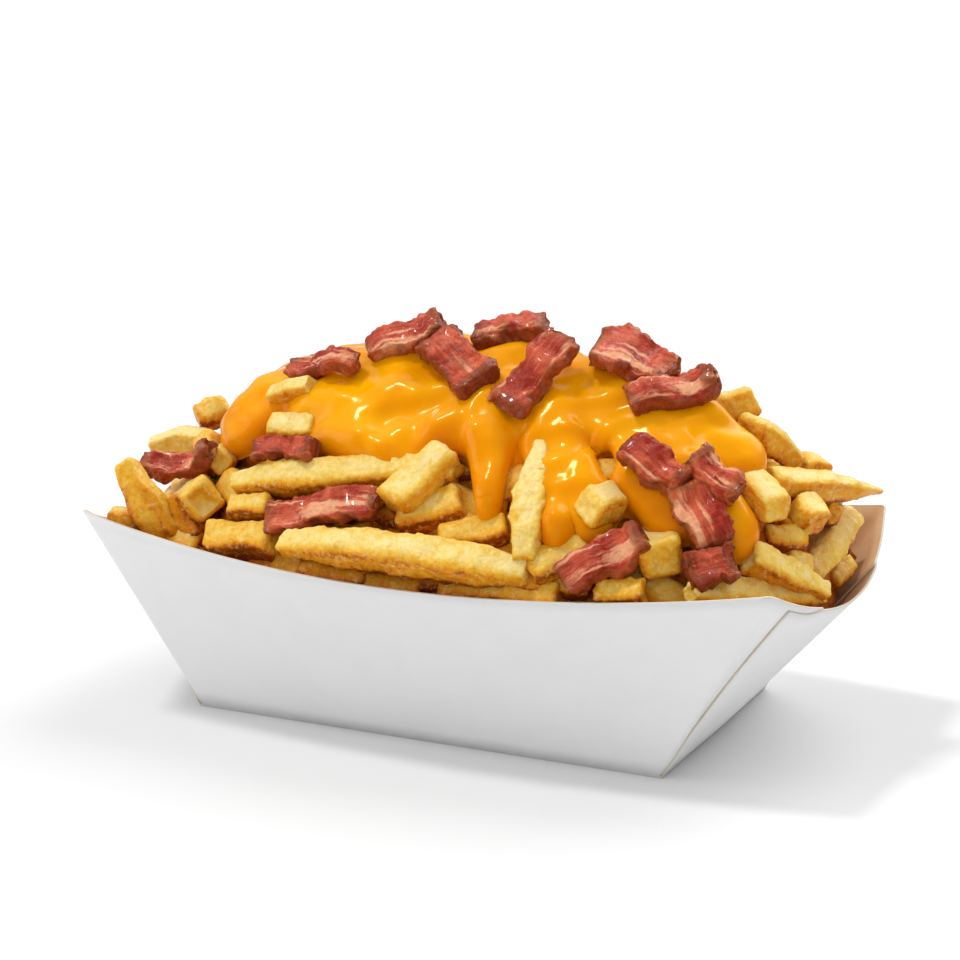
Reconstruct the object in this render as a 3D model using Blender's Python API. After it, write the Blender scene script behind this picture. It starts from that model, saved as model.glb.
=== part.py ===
"""French fries in an open paperboard food tray, under cheese sauce and bacon pieces.

Lengths are in millimetres until a mesh is made. X runs along the tray, Z is up, and
the origin is the centre of the underside of the tray's base. The front is -Y.
"""

import bmesh
import bpy
import numpy as np
from mathutils.bvhtree import BVHTree

MM = 0.001  # metres in a millimetre
CLEAR = 0.35  # gap kept between one node and the next

# Tray: half-lengths of the base, flare of the rim's corners past it, and the rim's arch
BASE_X, BASE_Y = 61.2, 35.8
FLARE_X, FLARE_Y = 27.8, 8.3
CORNER_Z = 48.4
SIDE_BOW, SIDE_DIP = 8.0, 6.7
END_BOW, END_DIP = 5.6, 11.3
BOARD = 0.5
PANEL_RIM = 0.81  # part of an end wall's half-width that its outer panel covers at the rim
PANEL_DROP = 0.7  # how far the outer panel's top edge stops below the rim at its corners

# Heap: where its mound ends, how high it starts and how far it rises above that
HEAP_MIDDLE_X = 6.0
HEAP_HALF_X, HEAP_HALF_Y = 98.0, 52.0
HEAP_FOOT, HEAP_RISE = 43.0, 45.0
CORE_BELOW_FRIES, CORE_BELOW_SAUCE = 7.0, 4.6
FILLER_LAYERS = ((0.0, 3.4, 18), (3.6, 5.6, 26))  # depth, overlap allowed, most fries
FILLER_TRIES = 4000
SEED = 11

# Sauce: outline as (degrees, radius) about its middle, with the tongues that run down
SAUCE_MIDDLE = (4.0, 0.0)
SAUCE_EDGE = 1.5
SAUCE_LIFT = 0.5
SAUCE_OUTLINE = (
    (-180, 66), (-172, 68), (-166, 66), (-162, 42), (-153, 39), (-146, 43), (-127, 36),
    (-116, 30), (-104, 25), (-86, 24), (-76, 36), (-69, 40), (-63, 34), (-58, 29),
    (-54, 30), (-50, 50), (-44, 52), (-39, 44), (-35, 56), (-27, 64), (-19, 72),
    (-13, 70), (-8, 62), (2, 60), (14, 60), (28, 51), (44, 38), (60, 30), (76, 29),
    (92, 35), (106, 34), (120, 31), (136, 39), (150, 52), (166, 62),
)

# Fries that show from the front: one end, the other end, thickness
FRIES = (
    ((-28, -46.2, 47.5), (31.5, -46.2, 48.5), 11.2),
    ((-78, -40, 62), (-69, -34, 40), 10.5),
    ((-87, -14, 58), (-62, -2, 60), 10),
    ((-79, -4, 65), (-68, 4, 62), 8.5),
    ((-74, -5, 58), (-53, -16, 62), 8),
    ((-67, -15, 59), (-48, -27, 60), 8),
    ((-66, -30, 54), (-64, -30, 42), 9),
    ((-62, -33, 51), (-71, -8, 52), 11),
    ((-55, -30, 55), (-6, -29, 65), 10.5),
    ((-52, -34, 52), (-41, -36, 53), 6.5),
    ((-56, -40, 44), (-35, -43, 47), 10),
    ((-5, -40, 58), (4, -28, 69), 10.5),
    ((-4, -37, 54), (10, -33, 59), 10),
    ((7, -40, 51), (23, -37, 55), 8),
    ((23, -28, 71), (29, -46.5, 50), 10),
    ((32, -45, 47), (43, -37, 53), 9),
    ((2, -45, 41), (33, -45, 44), 9),
    ((44, -34, 61), (48, -19, 61), 8.5),
    ((62, -40, 53), (50, -18, 54), 11),
    ((62, -42, 45), (91, -6, 43), 9),
    ((49, -44, 45), (59, -42, 46), 7),
    ((80, -18, 52), (89, -10, 45), 10.5),
    ((80, 8, 42), (84, 26, 51), 11),
    ((87, 5, 40), (89, 15, 41), 7),
    ((75, -9, 67), (90, 18, 59), 7.5),
    ((76, -15, 65), (84, -21, 58), 11),
    ((77, -8, 52), (86, -2, 50), 9),
    ((78, 10, 55), (84, 5, 51), 8.5),
    ((72, 30, 50), (86, 30, 52), 9),
    ((69, 0, 76), (77, 8, 66), 10),
    ((77, 10, 66), (83, 12, 63), 9),
    ((61, 10, 74), (70, 14, 76), 9),
    ((-42, -22, 69), (-44, -13, 69), 10),
    ((-29, -46, 41), (-13, -46, 42), 8),
    ((-18, -46, 42), (-3, -44, 44), 8),
    ((-83, -40, 47), (-72, -39, 44), 7),
    ((-77, -36, 45), (-59, -38, 42), 8),
    ((73, -26, 54), (80, -26, 49), 8),
)

# Bacon: one end, the other end, rise of its middle, thickness, width
BACON = (
    ((-81, -26, 59), (-66, -22, 62), -2, 5, 9),
    ((-38, -41, 55), (-11, -39, 60), 0, 4, 9.5),
    ((-51, -24, 66), (-36, -26, 68), 1, 5, 6),
    ((-52, -2, 80), (-36, 2, 83), 1.5, 5, 6.5),
    ((-28, -6, 87), (-13, 2, 92), 1.5, 5, 9),
    ((-9, -14, 92), (8, -18, 86), 1, 6, 11),
    ((-9, 8, 90), (11, 14, 92), 1.5, 5, 8),
    ((12, -17, 82), (24, -7, 93), -1, 6, 10),
    ((32, -10, 92), (46, -6, 87), 1.5, 6, 10),
    ((50, -18, 83), (61, -4, 86), -2, 6, 9),
    ((42, -48, 47), (54, -37, 58), 0, 6, 11),
    ((44, -23, 75), (57, -25, 70), 0, 6, 8),
    ((62, -15, 75), (72, -18, 69), -1, 5, 8),
    ((61, -27, 68), (72, -35, 58), 0, 4, 10),
    ((67, -38, 51), (76, -32, 52), 0, 5, 8),
)


def clear_scene():
    """Remove the startup objects."""
    for obj in list(bpy.data.objects):
        bpy.data.objects.remove(obj, do_unlink=True)


def material(name, colour, roughness):
    """Principled material of one colour."""
    made = bpy.data.materials.new(name)
    made.use_nodes = True
    shader = made.node_tree.nodes["Principled BSDF"]
    shader.inputs["Base Color"].default_value = (*colour, 1.0)
    shader.inputs["Roughness"].default_value = roughness
    return made


def solid(name, points, faces, finish, collection=None):
    """Object with the closed surface of these points (mm) and faces, facing out."""
    mesh = bpy.data.meshes.new(name)
    mesh.from_pydata((np.asarray(points, float) * MM).tolist(), [], faces)
    work = bmesh.new()
    work.from_mesh(mesh)
    bmesh.ops.recalc_face_normals(work, faces=work.faces)
    bmesh.ops.triangulate(work, faces=work.faces)
    work.to_mesh(mesh)
    work.free()
    mesh.materials.append(finish)
    obj = bpy.data.objects.new(name, mesh)
    (collection or bpy.context.scene.collection).objects.link(obj)
    return obj


def bake(obj):
    """Replace an object's mesh by what its modifiers make of it, and drop them."""
    graph = bpy.context.evaluated_depsgraph_get()
    mesh = bpy.data.meshes.new_from_object(obj.evaluated_get(graph))
    obj.modifiers.clear()
    obj.data = mesh


def surface_of(obj):
    """Search tree of an object's faces, in millimetres."""
    points = [vertex.co / MM for vertex in obj.data.vertices]
    return BVHTree.FromPolygons(points, [tuple(face.vertices) for face in obj.data.polygons])


def shell(rows):
    """Points and quads that join rows of equally many points, each row a closed loop."""
    count = len(rows[0])
    quads = [
        (r * count + i, r * count + (i + 1) % count, (r + 1) * count + (i + 1) % count, (r + 1) * count + i)
        for r in range(len(rows) - 1)
        for i in range(count)
    ]
    return np.concatenate(rows), quads


def cap(first, count):
    """One face over a loop of points that starts at this index."""
    return [tuple(range(first, first + count))]


# Tray


def ruling(side, s):
    """Lower and upper end of the board's straight lines at s, -1 to 1, along a wall.

    Sides 0 to 3 are front, right, back and left. Each wall is straight from the base's
    edge up to a rim that bows out and dips towards its middle.
    """
    s = np.asarray(s, float)
    arch, none = 1 - s**2, 0 * s
    if side % 2 == 0:
        low = np.stack([BASE_X * s, -BASE_Y + none, none], -1)
        high = np.stack(
            [(BASE_X + FLARE_X) * s, -(BASE_Y + FLARE_Y) - SIDE_BOW * arch, CORNER_Z - SIDE_DIP * arch], -1
        )
    else:
        low = np.stack([BASE_X + none, BASE_Y * s, none], -1)
        high = np.stack(
            [BASE_X + FLARE_X + END_BOW * arch, (BASE_Y + FLARE_Y) * s, CORNER_Z - END_DIP * arch], -1
        )
    turn = np.array([-1, -1, 1]) if side >= 2 else np.ones(3)
    return low * turn, high * turn


def outward(side, s, v):
    """Unit normal of a wall at s along it and v up it, pointing out of the tray."""
    step = 1e-3
    low, high = ruling(side, s)
    low_next, high_next = ruling(side, np.asarray(s, float) + step)
    along = (low_next - low) * (1 - v) + (high_next - high) * v
    normal = np.cross(along, high - low)
    return normal / np.linalg.norm(normal, axis=-1, keepdims=True)


def tray_rings(levels):
    """Loops round the outside of the tray, with each corner folded softly."""
    ends = []
    for side in range(4):
        reach = 0.975 if side % 2 == 0 else 0.95
        low, high = ruling(side, np.linspace(-reach, reach, 15 if side % 2 == 0 else 11))
        corner_low, corner_high = ruling(side, 1.0)
        next_low, next_high = ruling((side + 1) % 4, -0.95 if side % 2 == 0 else -0.975)
        low = np.vstack([low, low[-1] / 4 + corner_low / 2 + next_low / 4])
        high = np.vstack([high, high[-1] / 4 + corner_high / 2 + next_high / 4])
        ends.append((low, high))
    low = np.concatenate([pair[0] for pair in ends])
    high = np.concatenate([pair[1] for pair in ends])
    return [low * (1 - v) + high * v for v in levels]


def end_panel(side):
    """Points and faces of the panel folded up over the outside of an end wall.

    Its side edges run from the base's corners to the rim, and its top edge stops a
    little below the rim near them.
    """
    across, up = 15, 5
    layers = []
    for depth in (-BOARD / 2, BOARD):
        for v in np.linspace(0.012, 1, up):
            s = np.linspace(-1, 1, across) * (0.995 - (0.995 - PANEL_RIM) * v)
            low, high = ruling(side, s)
            drop = 0.15 + (PANEL_DROP - 0.15) * np.clip((np.abs(s) - 0.4) / 0.3, 0, 1)
            reach = v * (1 - drop / 49)[:, None]
            layers.append(low * (1 - reach) + high * reach + outward(side, s, v) * depth)
    grid = np.arange(2 * up * across).reshape(2, up, across)
    faces = []
    for sheet in grid:
        for r in range(up - 1):
            faces += [(sheet[r, i], sheet[r, i + 1], sheet[r + 1, i + 1], sheet[r + 1, i]) for i in range(across - 1)]
    edge = [*((0, i) for i in range(across)), *((r, across - 1) for r in range(1, up))]
    edge += [*((up - 1, i) for i in range(across - 2, -1, -1)), *((r, 0) for r in range(up - 2, 0, -1))]
    for (r, i), (q, j) in zip(edge, edge[1:] + edge[:1]):
        faces.append((grid[0, r, i], grid[0, q, j], grid[1, q, j], grid[1, r, i]))
    return np.concatenate(layers), [tuple(int(i) for i in face) for face in faces]


def make_tray(finish):
    """The paperboard tray: a thin shell, with a second layer of board over its end walls."""
    rows = tray_rings((0, 0.5, 1))
    points, faces = shell(rows)
    tray = solid("carton", points, faces + cap(0, len(rows[0])), finish)
    thick = tray.modifiers.new("board", "SOLIDIFY")
    thick.thickness = BOARD * MM
    thick.offset = -1
    thick.use_even_offset = True
    thick.use_quality_normals = True
    bake(tray)
    panels = [solid(f"panel_{side}", *end_panel(side), finish) for side in (1, 3)]
    for panel in panels:
        join = tray.modifiers.new(panel.name, "BOOLEAN")
        join.operation, join.solver, join.object = "UNION", "EXACT", panel
    bake(tray)
    for panel in panels:
        bpy.data.objects.remove(panel, do_unlink=True)
    return tray


# Heap


def heap_z(x, y):
    """Height of the heap's outer surface: a blunt mound that fills the tray."""
    fall = np.abs((x - HEAP_MIDDLE_X) / HEAP_HALF_X) ** 3.4 + np.abs(y / HEAP_HALF_Y) ** 1.45
    return HEAP_FOOT + HEAP_RISE * np.clip(1 - fall, 0, None) ** 1.1


def heap_up(x, y):
    """Unit normal of the heap's outer surface."""
    normal = np.array([heap_z(x - 1, y) - heap_z(x + 1, y), heap_z(x, y - 1) - heap_z(x, y + 1), 2.0])
    return normal / np.linalg.norm(normal)


def sauce_reach(x, y):
    """Distance from the sauce's middle as a part of the outline's radius that way."""
    degrees, radii = np.array(SAUCE_OUTLINE).T
    dx, dy = x - SAUCE_MIDDLE[0], y - SAUCE_MIDDLE[1]
    return np.hypot(dx, dy) / np.interp(np.degrees(np.arctan2(dy, dx)), degrees, radii, period=360)


def core_z(x, y):
    """Height of the solid core, nearer the heap's surface where the sauce covers it."""
    bare = np.clip((sauce_reach(x, y) - 1.0) / 0.2, 0, 1)
    return heap_z(x, y) - CORE_BELOW_SAUCE - (CORE_BELOW_FRIES - CORE_BELOW_SAUCE) * bare


def make_core(finish):
    """The heap's core: it follows the inside of the tray up to a mound under the fries."""
    depth = BOARD + CLEAR + 0.55
    foot, waist, brim = [], [], []
    for side in range(4):
        s = np.linspace(-0.94, 0.94, 11) if side % 2 == 0 else np.linspace(-0.86, 0.86, 7)
        low, high = ruling(side, s)
        v = np.full(len(s), 0.75)
        for _ in range(4):
            at = low + (high - low) * v[:, None] - outward(side, s, 0.8) * depth
            v = np.minimum(core_z(at[:, 0], at[:, 1]), high[:, 2] - 3.5) / high[:, 2]
        brim.append(low + (high - low) * v[:, None] - outward(side, s, 0.8) * depth)
        waist.append(low + (high - low) * v[:, None] / 2 - outward(side, s, 0.4) * depth)
        base = low + (high - low) * 0.03 - outward(side, s, 0.1) * depth
        base[:, 2] = BOARD + CLEAR
        foot.append(base)
    foot, waist, brim = np.concatenate(foot), np.concatenate(waist), np.concatenate(brim)
    rows = [foot, waist, brim]
    for part in (0.9, 0.78, 0.65, 0.52, 0.39, 0.26, 0.13):
        ring = brim * part
        ring[:, 2] = core_z(ring[:, 0], ring[:, 1])
        rows.append(ring)
    points, faces = shell(rows)
    count = len(foot)
    faces += cap(0, count) + cap(len(points) - count, count)
    return solid("fries", points, faces, finish)


def sweep(path, up, half_width, half_height, flat, grow=0.0):
    """Points and faces of a closed eight-sided bar along a path.

    The bar's height follows the direction up, flat is the part of each side between
    the chamfers, and grow adds to every side and both ends.
    """
    path = np.array(path, float)
    along = np.gradient(path, axis=0)
    along /= np.linalg.norm(along, axis=1)[:, None]
    path[0] -= along[0] * grow
    path[-1] += along[-1] * grow
    side = np.cross(along, up)
    side /= np.linalg.norm(side, axis=1)[:, None]
    rise = np.cross(side, along)
    section = np.array(
        [(1, -flat), (1, flat), (flat, 1), (-flat, 1), (-1, flat), (-1, -flat), (-flat, -1), (flat, -1)]
    )
    across = section[:, 0] * (half_width + grow)[:, None]
    upward = section[:, 1] * (half_height + grow)[:, None]
    points = path[:, None] + side[:, None] * across[..., None] + rise[:, None] * upward[..., None]
    points, faces = shell(list(points))
    return points, faces + cap(0, 8) + cap(len(points) - 8, 8)


def fry_shape(start, end, thick, up, bend=0.0, grow=0.0):
    """Bar of potato: a square stick with chamfered edges, blunt ends and a slight bend."""
    start, end = np.asarray(start, float), np.asarray(end, float)
    length = np.linalg.norm(end - start)
    tip = min(0.14, 1.5 / length)
    t = np.array([0, tip, 0.33, 0.67, 1 - tip, 1])
    path = start + (end - start) * t[:, None] + np.outer(4 * bend * t * (1 - t), up)
    half = 0.5 * thick * np.array([0.76, 0.97, 1.0, 1.0, 0.95, 0.72])
    return sweep(path, up, half, half, 0.55, grow)


def across_of(start, end, want):
    """The direction want made square to a bar, or a forward one where they run together."""
    along = (end - start) / np.linalg.norm(end - start)
    for choice in (want, np.array([0.4, -0.9, 0.2])):
        square = choice - along * (choice @ along)
        if np.linalg.norm(square) > 0.35:
            return square / np.linalg.norm(square)
    return np.cross(along, [0.0, 0.0, 1.0])


def crosses(shape, obstacles):
    """Whether a shape's surface meets one of the obstacles' surfaces."""
    tree = BVHTree.FromPolygons(shape[0].tolist(), shape[1])
    return any(tree.overlap(obstacle) for obstacle in obstacles)


def inside_limits(start, end, thick):
    """Whether a bar stays over the tray, within its widest outline."""
    for point in (start, end):
        if abs(point[0]) > 94.5 - thick / 2 or abs(point[1]) > 52.3 - thick / 2:
            return False
    return True


def fit_fry(start, end, thick, obstacles):
    """A shown fry moved down the slope, sunk or shortened until it crosses no other node."""
    start, end = np.asarray(start, float), np.asarray(end, float)
    middle = (start + end) / 2
    out = heap_up(middle[0], middle[1])
    down = np.array([out[0], out[1], 0.0])
    down = down * out[2] - np.array([0, 0, out[0] ** 2 + out[1] ** 2])
    down /= max(np.linalg.norm(down), 1e-6)
    moves = [(slide, sink) for slide in range(0, 6) for sink in range(0, 8)]
    moves.sort(key=lambda move: move[0] * 1.1 + move[1])
    for keep in (1.0, 0.85, 0.7):
        for slide, sink in moves:
            shift = down * slide - out * sink
            a = middle + (start - middle) * keep + shift
            b = middle + (end - middle) * keep + shift
            up = across_of(a, b, out)
            if inside_limits(a, b, thick) and not crosses(fry_shape(a, b, thick, up, 0, CLEAR), obstacles):
                return a, b, thick, up, 0.0
    return None


def axis_points(start, end):
    """Points spread along a fry's axis."""
    return start + (end - start) * np.linspace(0, 1, 9)[:, None]


def random_fry(rng, early, depth):
    """A fry laid on the heap at random, mostly lengthways, longer while early is near 1."""
    length = 14 + 44 * early * rng.uniform(0.6, 1)
    thick = rng.uniform(8.2, 11)
    middle = np.array([rng.uniform(-88, 90), rng.uniform(-47, 47), 0.0])
    turn = rng.normal(0, 0.6)
    reach = np.array([np.cos(turn), np.sin(turn), 0.0]) * length / 2
    start, end = middle - reach, middle + reach
    sunk = thick / 2 + depth + rng.uniform(0, 1.5)
    for point in (start, end):
        point[2] = heap_z(point[0], point[1]) - sunk
    up = across_of(start, end, heap_up(middle[0], middle[1]) + rng.normal(0, 0.22, 3))
    return start, end, thick, up, rng.uniform(-1.5, 2.5) * length / 50


def filler_fries(placed, obstacles):
    """Fries strewn over the rest of the heap, largest first, each clear of those before it."""
    rng = np.random.default_rng(SEED)
    taken = [(axis_points(fry[0], fry[1]), fry[2]) for fry in placed]
    found = []
    for depth, overlap, most in FILLER_LAYERS:
        layer = []
        for trial in range(FILLER_TRIES):
            if len(layer) == most:
                break
            fry = random_fry(rng, 1 - trial / FILLER_TRIES, depth)
            middle = (fry[0] + fry[1]) / 2
            if sauce_reach(middle[0], middle[1]) < 1.0 or not inside_limits(*fry[:3]):
                continue
            points = axis_points(fry[0], fry[1])
            if any(
                np.linalg.norm(points[:, None] - other[None], axis=2).min() < (fry[2] + thick) / 2 - overlap
                for other, thick in taken
            ):
                continue
            if not crosses(fry_shape(*fry, CLEAR), obstacles):
                taken.append((points, fry[2]))
                layer.append(fry)
        found += layer
    return found


def keep_largest(obj):
    """Drop every piece of a mesh but its largest, so no scrap or sealed hollow stays."""
    work = bmesh.new()
    work.from_mesh(obj.data)
    bmesh.ops.remove_doubles(work, verts=work.verts, dist=2e-6)
    bmesh.ops.dissolve_degenerate(work, edges=work.edges, dist=2e-6)
    bmesh.ops.triangulate(work, faces=work.faces)
    left, pieces = set(work.verts), []
    while left:
        front, piece = [left.pop()], []
        while front:
            vertex = front.pop()
            piece.append(vertex)
            for edge in vertex.link_edges:
                other = edge.other_vert(vertex)
                if other in left:
                    left.remove(other)
                    front.append(other)
        pieces.append(piece)
    pieces.sort(key=len)
    for piece in pieces[:-1]:
        bmesh.ops.delete(work, geom=piece, context="VERTS")
    work.to_mesh(obj.data)
    work.free()


def pile_fries(core, obstacles, finish):
    """Fuse the fries that show onto the core, in one union."""
    shown = [fit_fry(*fry, obstacles) for fry in FRIES]
    shown = [fry for fry in shown if fry is not None]
    pieces = bpy.data.collections.new("fry_pieces")
    for number, fry in enumerate(shown + filler_fries(shown, obstacles)):
        solid(f"fry_{number:02d}", *fry_shape(*fry), finish, pieces)
    join = core.modifiers.new("fries", "BOOLEAN")
    join.operation, join.solver = "UNION", "EXACT"
    join.operand_type, join.collection = "COLLECTION", pieces
    bake(core)
    for obj in list(pieces.objects):
        bpy.data.objects.remove(obj, do_unlink=True)
    bpy.data.collections.remove(pieces)
    keep_largest(core)


# Sauce and bacon


def highest_near(tree, x, y):
    """Greatest height of a surface at a point and a little way round it."""
    steps = [(dx, dy) for dx in (-3, 0, 3) for dy in (-3, 0, 3)]
    return max(tree.ray_cast((x + dx, y + dy, 200.0), (0.0, 0.0, -1.0))[0][2] for dx, dy in steps)


def make_sauce(core, finish):
    """Cheese sauce: a sheet over the core's top, thin at its rounded edge."""
    angles = np.radians(np.arange(0, 360, 5))
    degrees, radii = np.array(SAUCE_OUTLINE).T
    radius = np.interp(np.degrees(angles), degrees, radii, period=360)
    below = surface_of(core)
    tops, bottoms = [], []
    for part in (1.0, 0.97, 0.86, 0.7, 0.52, 0.34, 0.16):
        x = SAUCE_MIDDLE[0] + radius * part * np.cos(angles)
        y = SAUCE_MIDDLE[1] + radius * part * np.sin(angles)
        floor = np.array([highest_near(below, u, v) for u, v in zip(x, y)]) + SAUCE_LIFT
        swell = np.sqrt(1 - part**8)
        thick = SAUCE_EDGE + np.clip(heap_z(x, y) - floor - SAUCE_EDGE, 1.5, None) * swell
        bottoms.append(np.stack([x, y, floor], -1))
        tops.append(np.stack([x, y, floor + thick], -1))
    rows = bottoms[::-1] + tops
    points, faces = shell(rows)
    count = len(angles)
    return solid("cheese_sauce", points, faces + cap(0, count) + cap(len(points) - count, count), finish)


def bacon_shape(start, end, rise, thick, width, up, shift, grow=0.0):
    """Piece of bacon: a flat strip with blunt ends, its middle raised or sunk."""
    t = np.array([0, 0.1, 0.35, 0.6, 0.88, 1])
    path = start + (end - start) * t[:, None] + np.outer(4 * rise * t * (1 - t), up) + shift
    half_width = 0.5 * width * np.array([0.7, 0.92, 1.0, 0.93, 0.9, 0.66])
    half_height = 0.5 * thick * np.array([0.75, 0.95, 1.0, 1.0, 0.95, 0.7])
    return sweep(path, up, half_width, half_height, 0.6, grow)


def lay_bacon(obstacles, finish):
    """Bacon pieces, each moved out from the heap until it clears what lies under it."""
    made = []
    for number, (start, end, rise, thick, width) in enumerate(BACON, 1):
        start, end = np.array(start, float), np.array(end, float)
        out = heap_up(*((start + end) / 2)[:2])
        up = across_of(start, end, out)
        for step in range(60):
            shift = out * (0.25 * step)
            if not crosses(bacon_shape(start, end, rise, thick, width, up, shift, CLEAR), obstacles):
                break
        shape = bacon_shape(start, end, rise, thick, width, up, shift)
        made.append(solid(f"bacon_{number:02d}", *shape, finish))
        obstacles = [*obstacles, surface_of(made[-1])]
    return made


def main():
    """Build the tray, the core, the sauce and bacon on it, and then the fries round them."""
    clear_scene()
    white_board = material("white_board", (0.86, 0.86, 0.84), 0.6)
    fried_potato = material("fried_potato", (0.72, 0.42, 0.11), 0.55)
    cheese = material("cheese", (0.85, 0.42, 0.04), 0.25)
    bacon = material("bacon", (0.36, 0.08, 0.04), 0.4)
    tray = make_tray(white_board)
    core = make_core(fried_potato)
    sauce = make_sauce(core, cheese)
    pieces = lay_bacon([surface_of(sauce), surface_of(core), surface_of(tray)], bacon)
    pile_fries(core, [surface_of(obj) for obj in (tray, sauce, *pieces)], fried_potato)


main()
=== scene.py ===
"""Looks of loaded french fries in an open paperboard food tray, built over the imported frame.

Shapes are worked out in millimetres and stored in metres. X runs along the tray, Z is
up, the front is -Y, and the origin is the centre of the underside of the tray's base.
"""

import logging
import math
from dataclasses import dataclass, field, replace
from enum import Enum

import bpy
import numpy as np
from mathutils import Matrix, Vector
from mathutils.bvhtree import BVHTree


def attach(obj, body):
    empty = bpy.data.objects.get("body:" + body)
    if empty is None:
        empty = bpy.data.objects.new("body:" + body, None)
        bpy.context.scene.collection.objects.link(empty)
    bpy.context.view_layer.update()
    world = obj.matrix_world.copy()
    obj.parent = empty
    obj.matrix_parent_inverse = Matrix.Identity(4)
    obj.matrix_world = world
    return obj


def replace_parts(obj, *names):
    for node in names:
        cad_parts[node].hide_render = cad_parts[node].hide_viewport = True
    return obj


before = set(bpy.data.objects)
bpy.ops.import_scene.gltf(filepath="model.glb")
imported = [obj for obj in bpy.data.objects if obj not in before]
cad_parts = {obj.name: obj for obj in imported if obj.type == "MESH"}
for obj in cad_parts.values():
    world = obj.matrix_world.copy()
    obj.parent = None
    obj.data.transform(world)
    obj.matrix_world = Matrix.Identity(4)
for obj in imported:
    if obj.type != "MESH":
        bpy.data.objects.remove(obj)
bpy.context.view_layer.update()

LOG = logging.getLogger("loaded_fries")
MM = 0.001
TINY = 1e-9
Array = np.ndarray
Colour = tuple[float, float, float]
Point = tuple[float, float, float]
Socket = bpy.types.NodeSocket


# Meshes


@dataclass
class Surface:
    """Points in millimetres with the quads, triangles and point values over them."""

    points: Array
    quads: Array = field(default_factory=lambda: np.zeros((0, 4), int))
    triangles: Array = field(default_factory=lambda: np.zeros((0, 3), int))
    values: dict[str, Array] = field(default_factory=dict)

    @staticmethod
    def joined(parts: list["Surface"]) -> "Surface":
        """One surface of several, which all carry the same values.

        Args:
            parts: Surfaces, in the order in which their points follow each other.

        Returns:
            Surface with all the points, faces and values of the parts.
        """
        starts = np.cumsum([0] + [len(part.points) for part in parts[:-1]])
        return Surface(
            np.concatenate([part.points for part in parts]),
            np.concatenate([part.quads + start for part, start in zip(parts, starts)]),
            np.concatenate([part.triangles + start for part, start in zip(parts, starts)]),
            {name: np.concatenate([part.values[name] for part in parts]) for name in parts[0].values},
        )

    def tree(self) -> BVHTree:
        """Search tree of the faces, in millimetres."""
        return BVHTree.FromPolygons(self.points.tolist(), self.quads.tolist() + self.triangles.tolist())

    def piece(self, name: str, slot: str, materials: list[bpy.types.Material]) -> bpy.types.Object:
        """Mesh object of the surface, riding on the part.

        Args:
            name: Name of the object.
            slot: Material slot of the record; not used.
            materials: Materials, the first of which covers every face.

        Returns:
            The new object, with its place in its mesh.
        """
        mesh = bpy.data.meshes.new(name)
        corners = np.concatenate([self.quads.ravel(), self.triangles.ravel()]).astype(np.int32)
        sizes = np.concatenate([np.full(len(self.quads), 4), np.full(len(self.triangles), 3)])
        mesh.vertices.add(len(self.points))
        mesh.vertices.foreach_set("co", (self.points * MM).astype(np.float32).ravel())
        mesh.loops.add(len(corners))
        mesh.loops.foreach_set("vertex_index", corners)
        mesh.polygons.add(len(sizes))
        mesh.polygons.foreach_set("loop_start", (np.cumsum(sizes) - sizes).astype(np.int32))
        mesh.update(calc_edges=True)
        mesh.validate()
        mesh.polygons.foreach_set("use_smooth", np.ones(len(mesh.polygons), bool))
        for key, value in self.values.items():
            layer = mesh.attributes.new(key, "FLOAT", "POINT")
            layer.data.foreach_set("value", value.astype(np.float32))
        for made in materials:
            mesh.materials.append(made)
        obj = bpy.data.objects.new(name, mesh)
        bpy.context.scene.collection.objects.link(obj)
        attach(obj, "root")
        LOG.info("%s: %d points, %d faces", name, len(self.points), len(sizes))
        return obj


def tube_quads(rows: int, columns: int) -> Array:
    """Quads of a grid that closes round its columns, turned so that they face out.

    Args:
        rows: Number of loops along the tube.
        columns: Number of points in a loop.

    Returns:
        Four point numbers for each quad.
    """
    r, c = np.meshgrid(np.arange(rows - 1), np.arange(columns), indexing="ij")
    right = (c + 1) % columns
    quads = [r * columns + c, r * columns + right, (r + 1) * columns + right, (r + 1) * columns + c]
    return np.stack(quads, -1).reshape(-1, 4)


def end_fans(rows: int, columns: int) -> Array:
    """Triangles that close both ends of such a grid, each a fan from the loop's first point.

    Args:
        rows: Number of loops along the tube.
        columns: Number of points in a loop.

    Returns:
        Three point numbers for each triangle.
    """
    i = np.arange(1, columns - 1)
    first = np.stack([0 * i, i + 1, i], -1)
    last = np.stack([0 * i, i, i + 1], -1) + (rows - 1) * columns
    return np.concatenate([first, last])


def unit(vectors: Array) -> Array:
    """Vectors divided by their lengths."""
    return vectors / np.maximum(np.linalg.norm(vectors, axis=-1, keepdims=True), TINY)


def smooth_step(low: float, high: float, value: Array) -> Array:
    """0 below low and 1 above high, with t * t * (3 - 2 t) between them."""
    t = np.clip((value - low) / (high - low), 0, 1)
    return t * t * (3 - 2 * t)


def ripple(points: Array, size: float, seed: int, waves: int = 12) -> Array:
    """Smooth noise with a spread of about 0.5.

    It is the sum of sin(w . p + f) over waves of random direction w, with a length of
    about 2 pi / size, and random phase f.

    Args:
        points: Points in millimetres, in an array whose last axis is x, y, z.
        size: Distance from one swelling to the next, in millimetres.
        seed: Seed of the random draw.
        waves: Number of sines.

    Returns:
        One value for each point.
    """
    rng = np.random.default_rng(seed)
    w = unit(rng.normal(size=(waves, 3))) * (2 * np.pi / size) * rng.uniform(0.6, 1.5, (waves, 1))
    return np.sin(points @ w.T + rng.uniform(0, 2 * np.pi, waves)).sum(-1) * math.sqrt(0.5 / waves)


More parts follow.
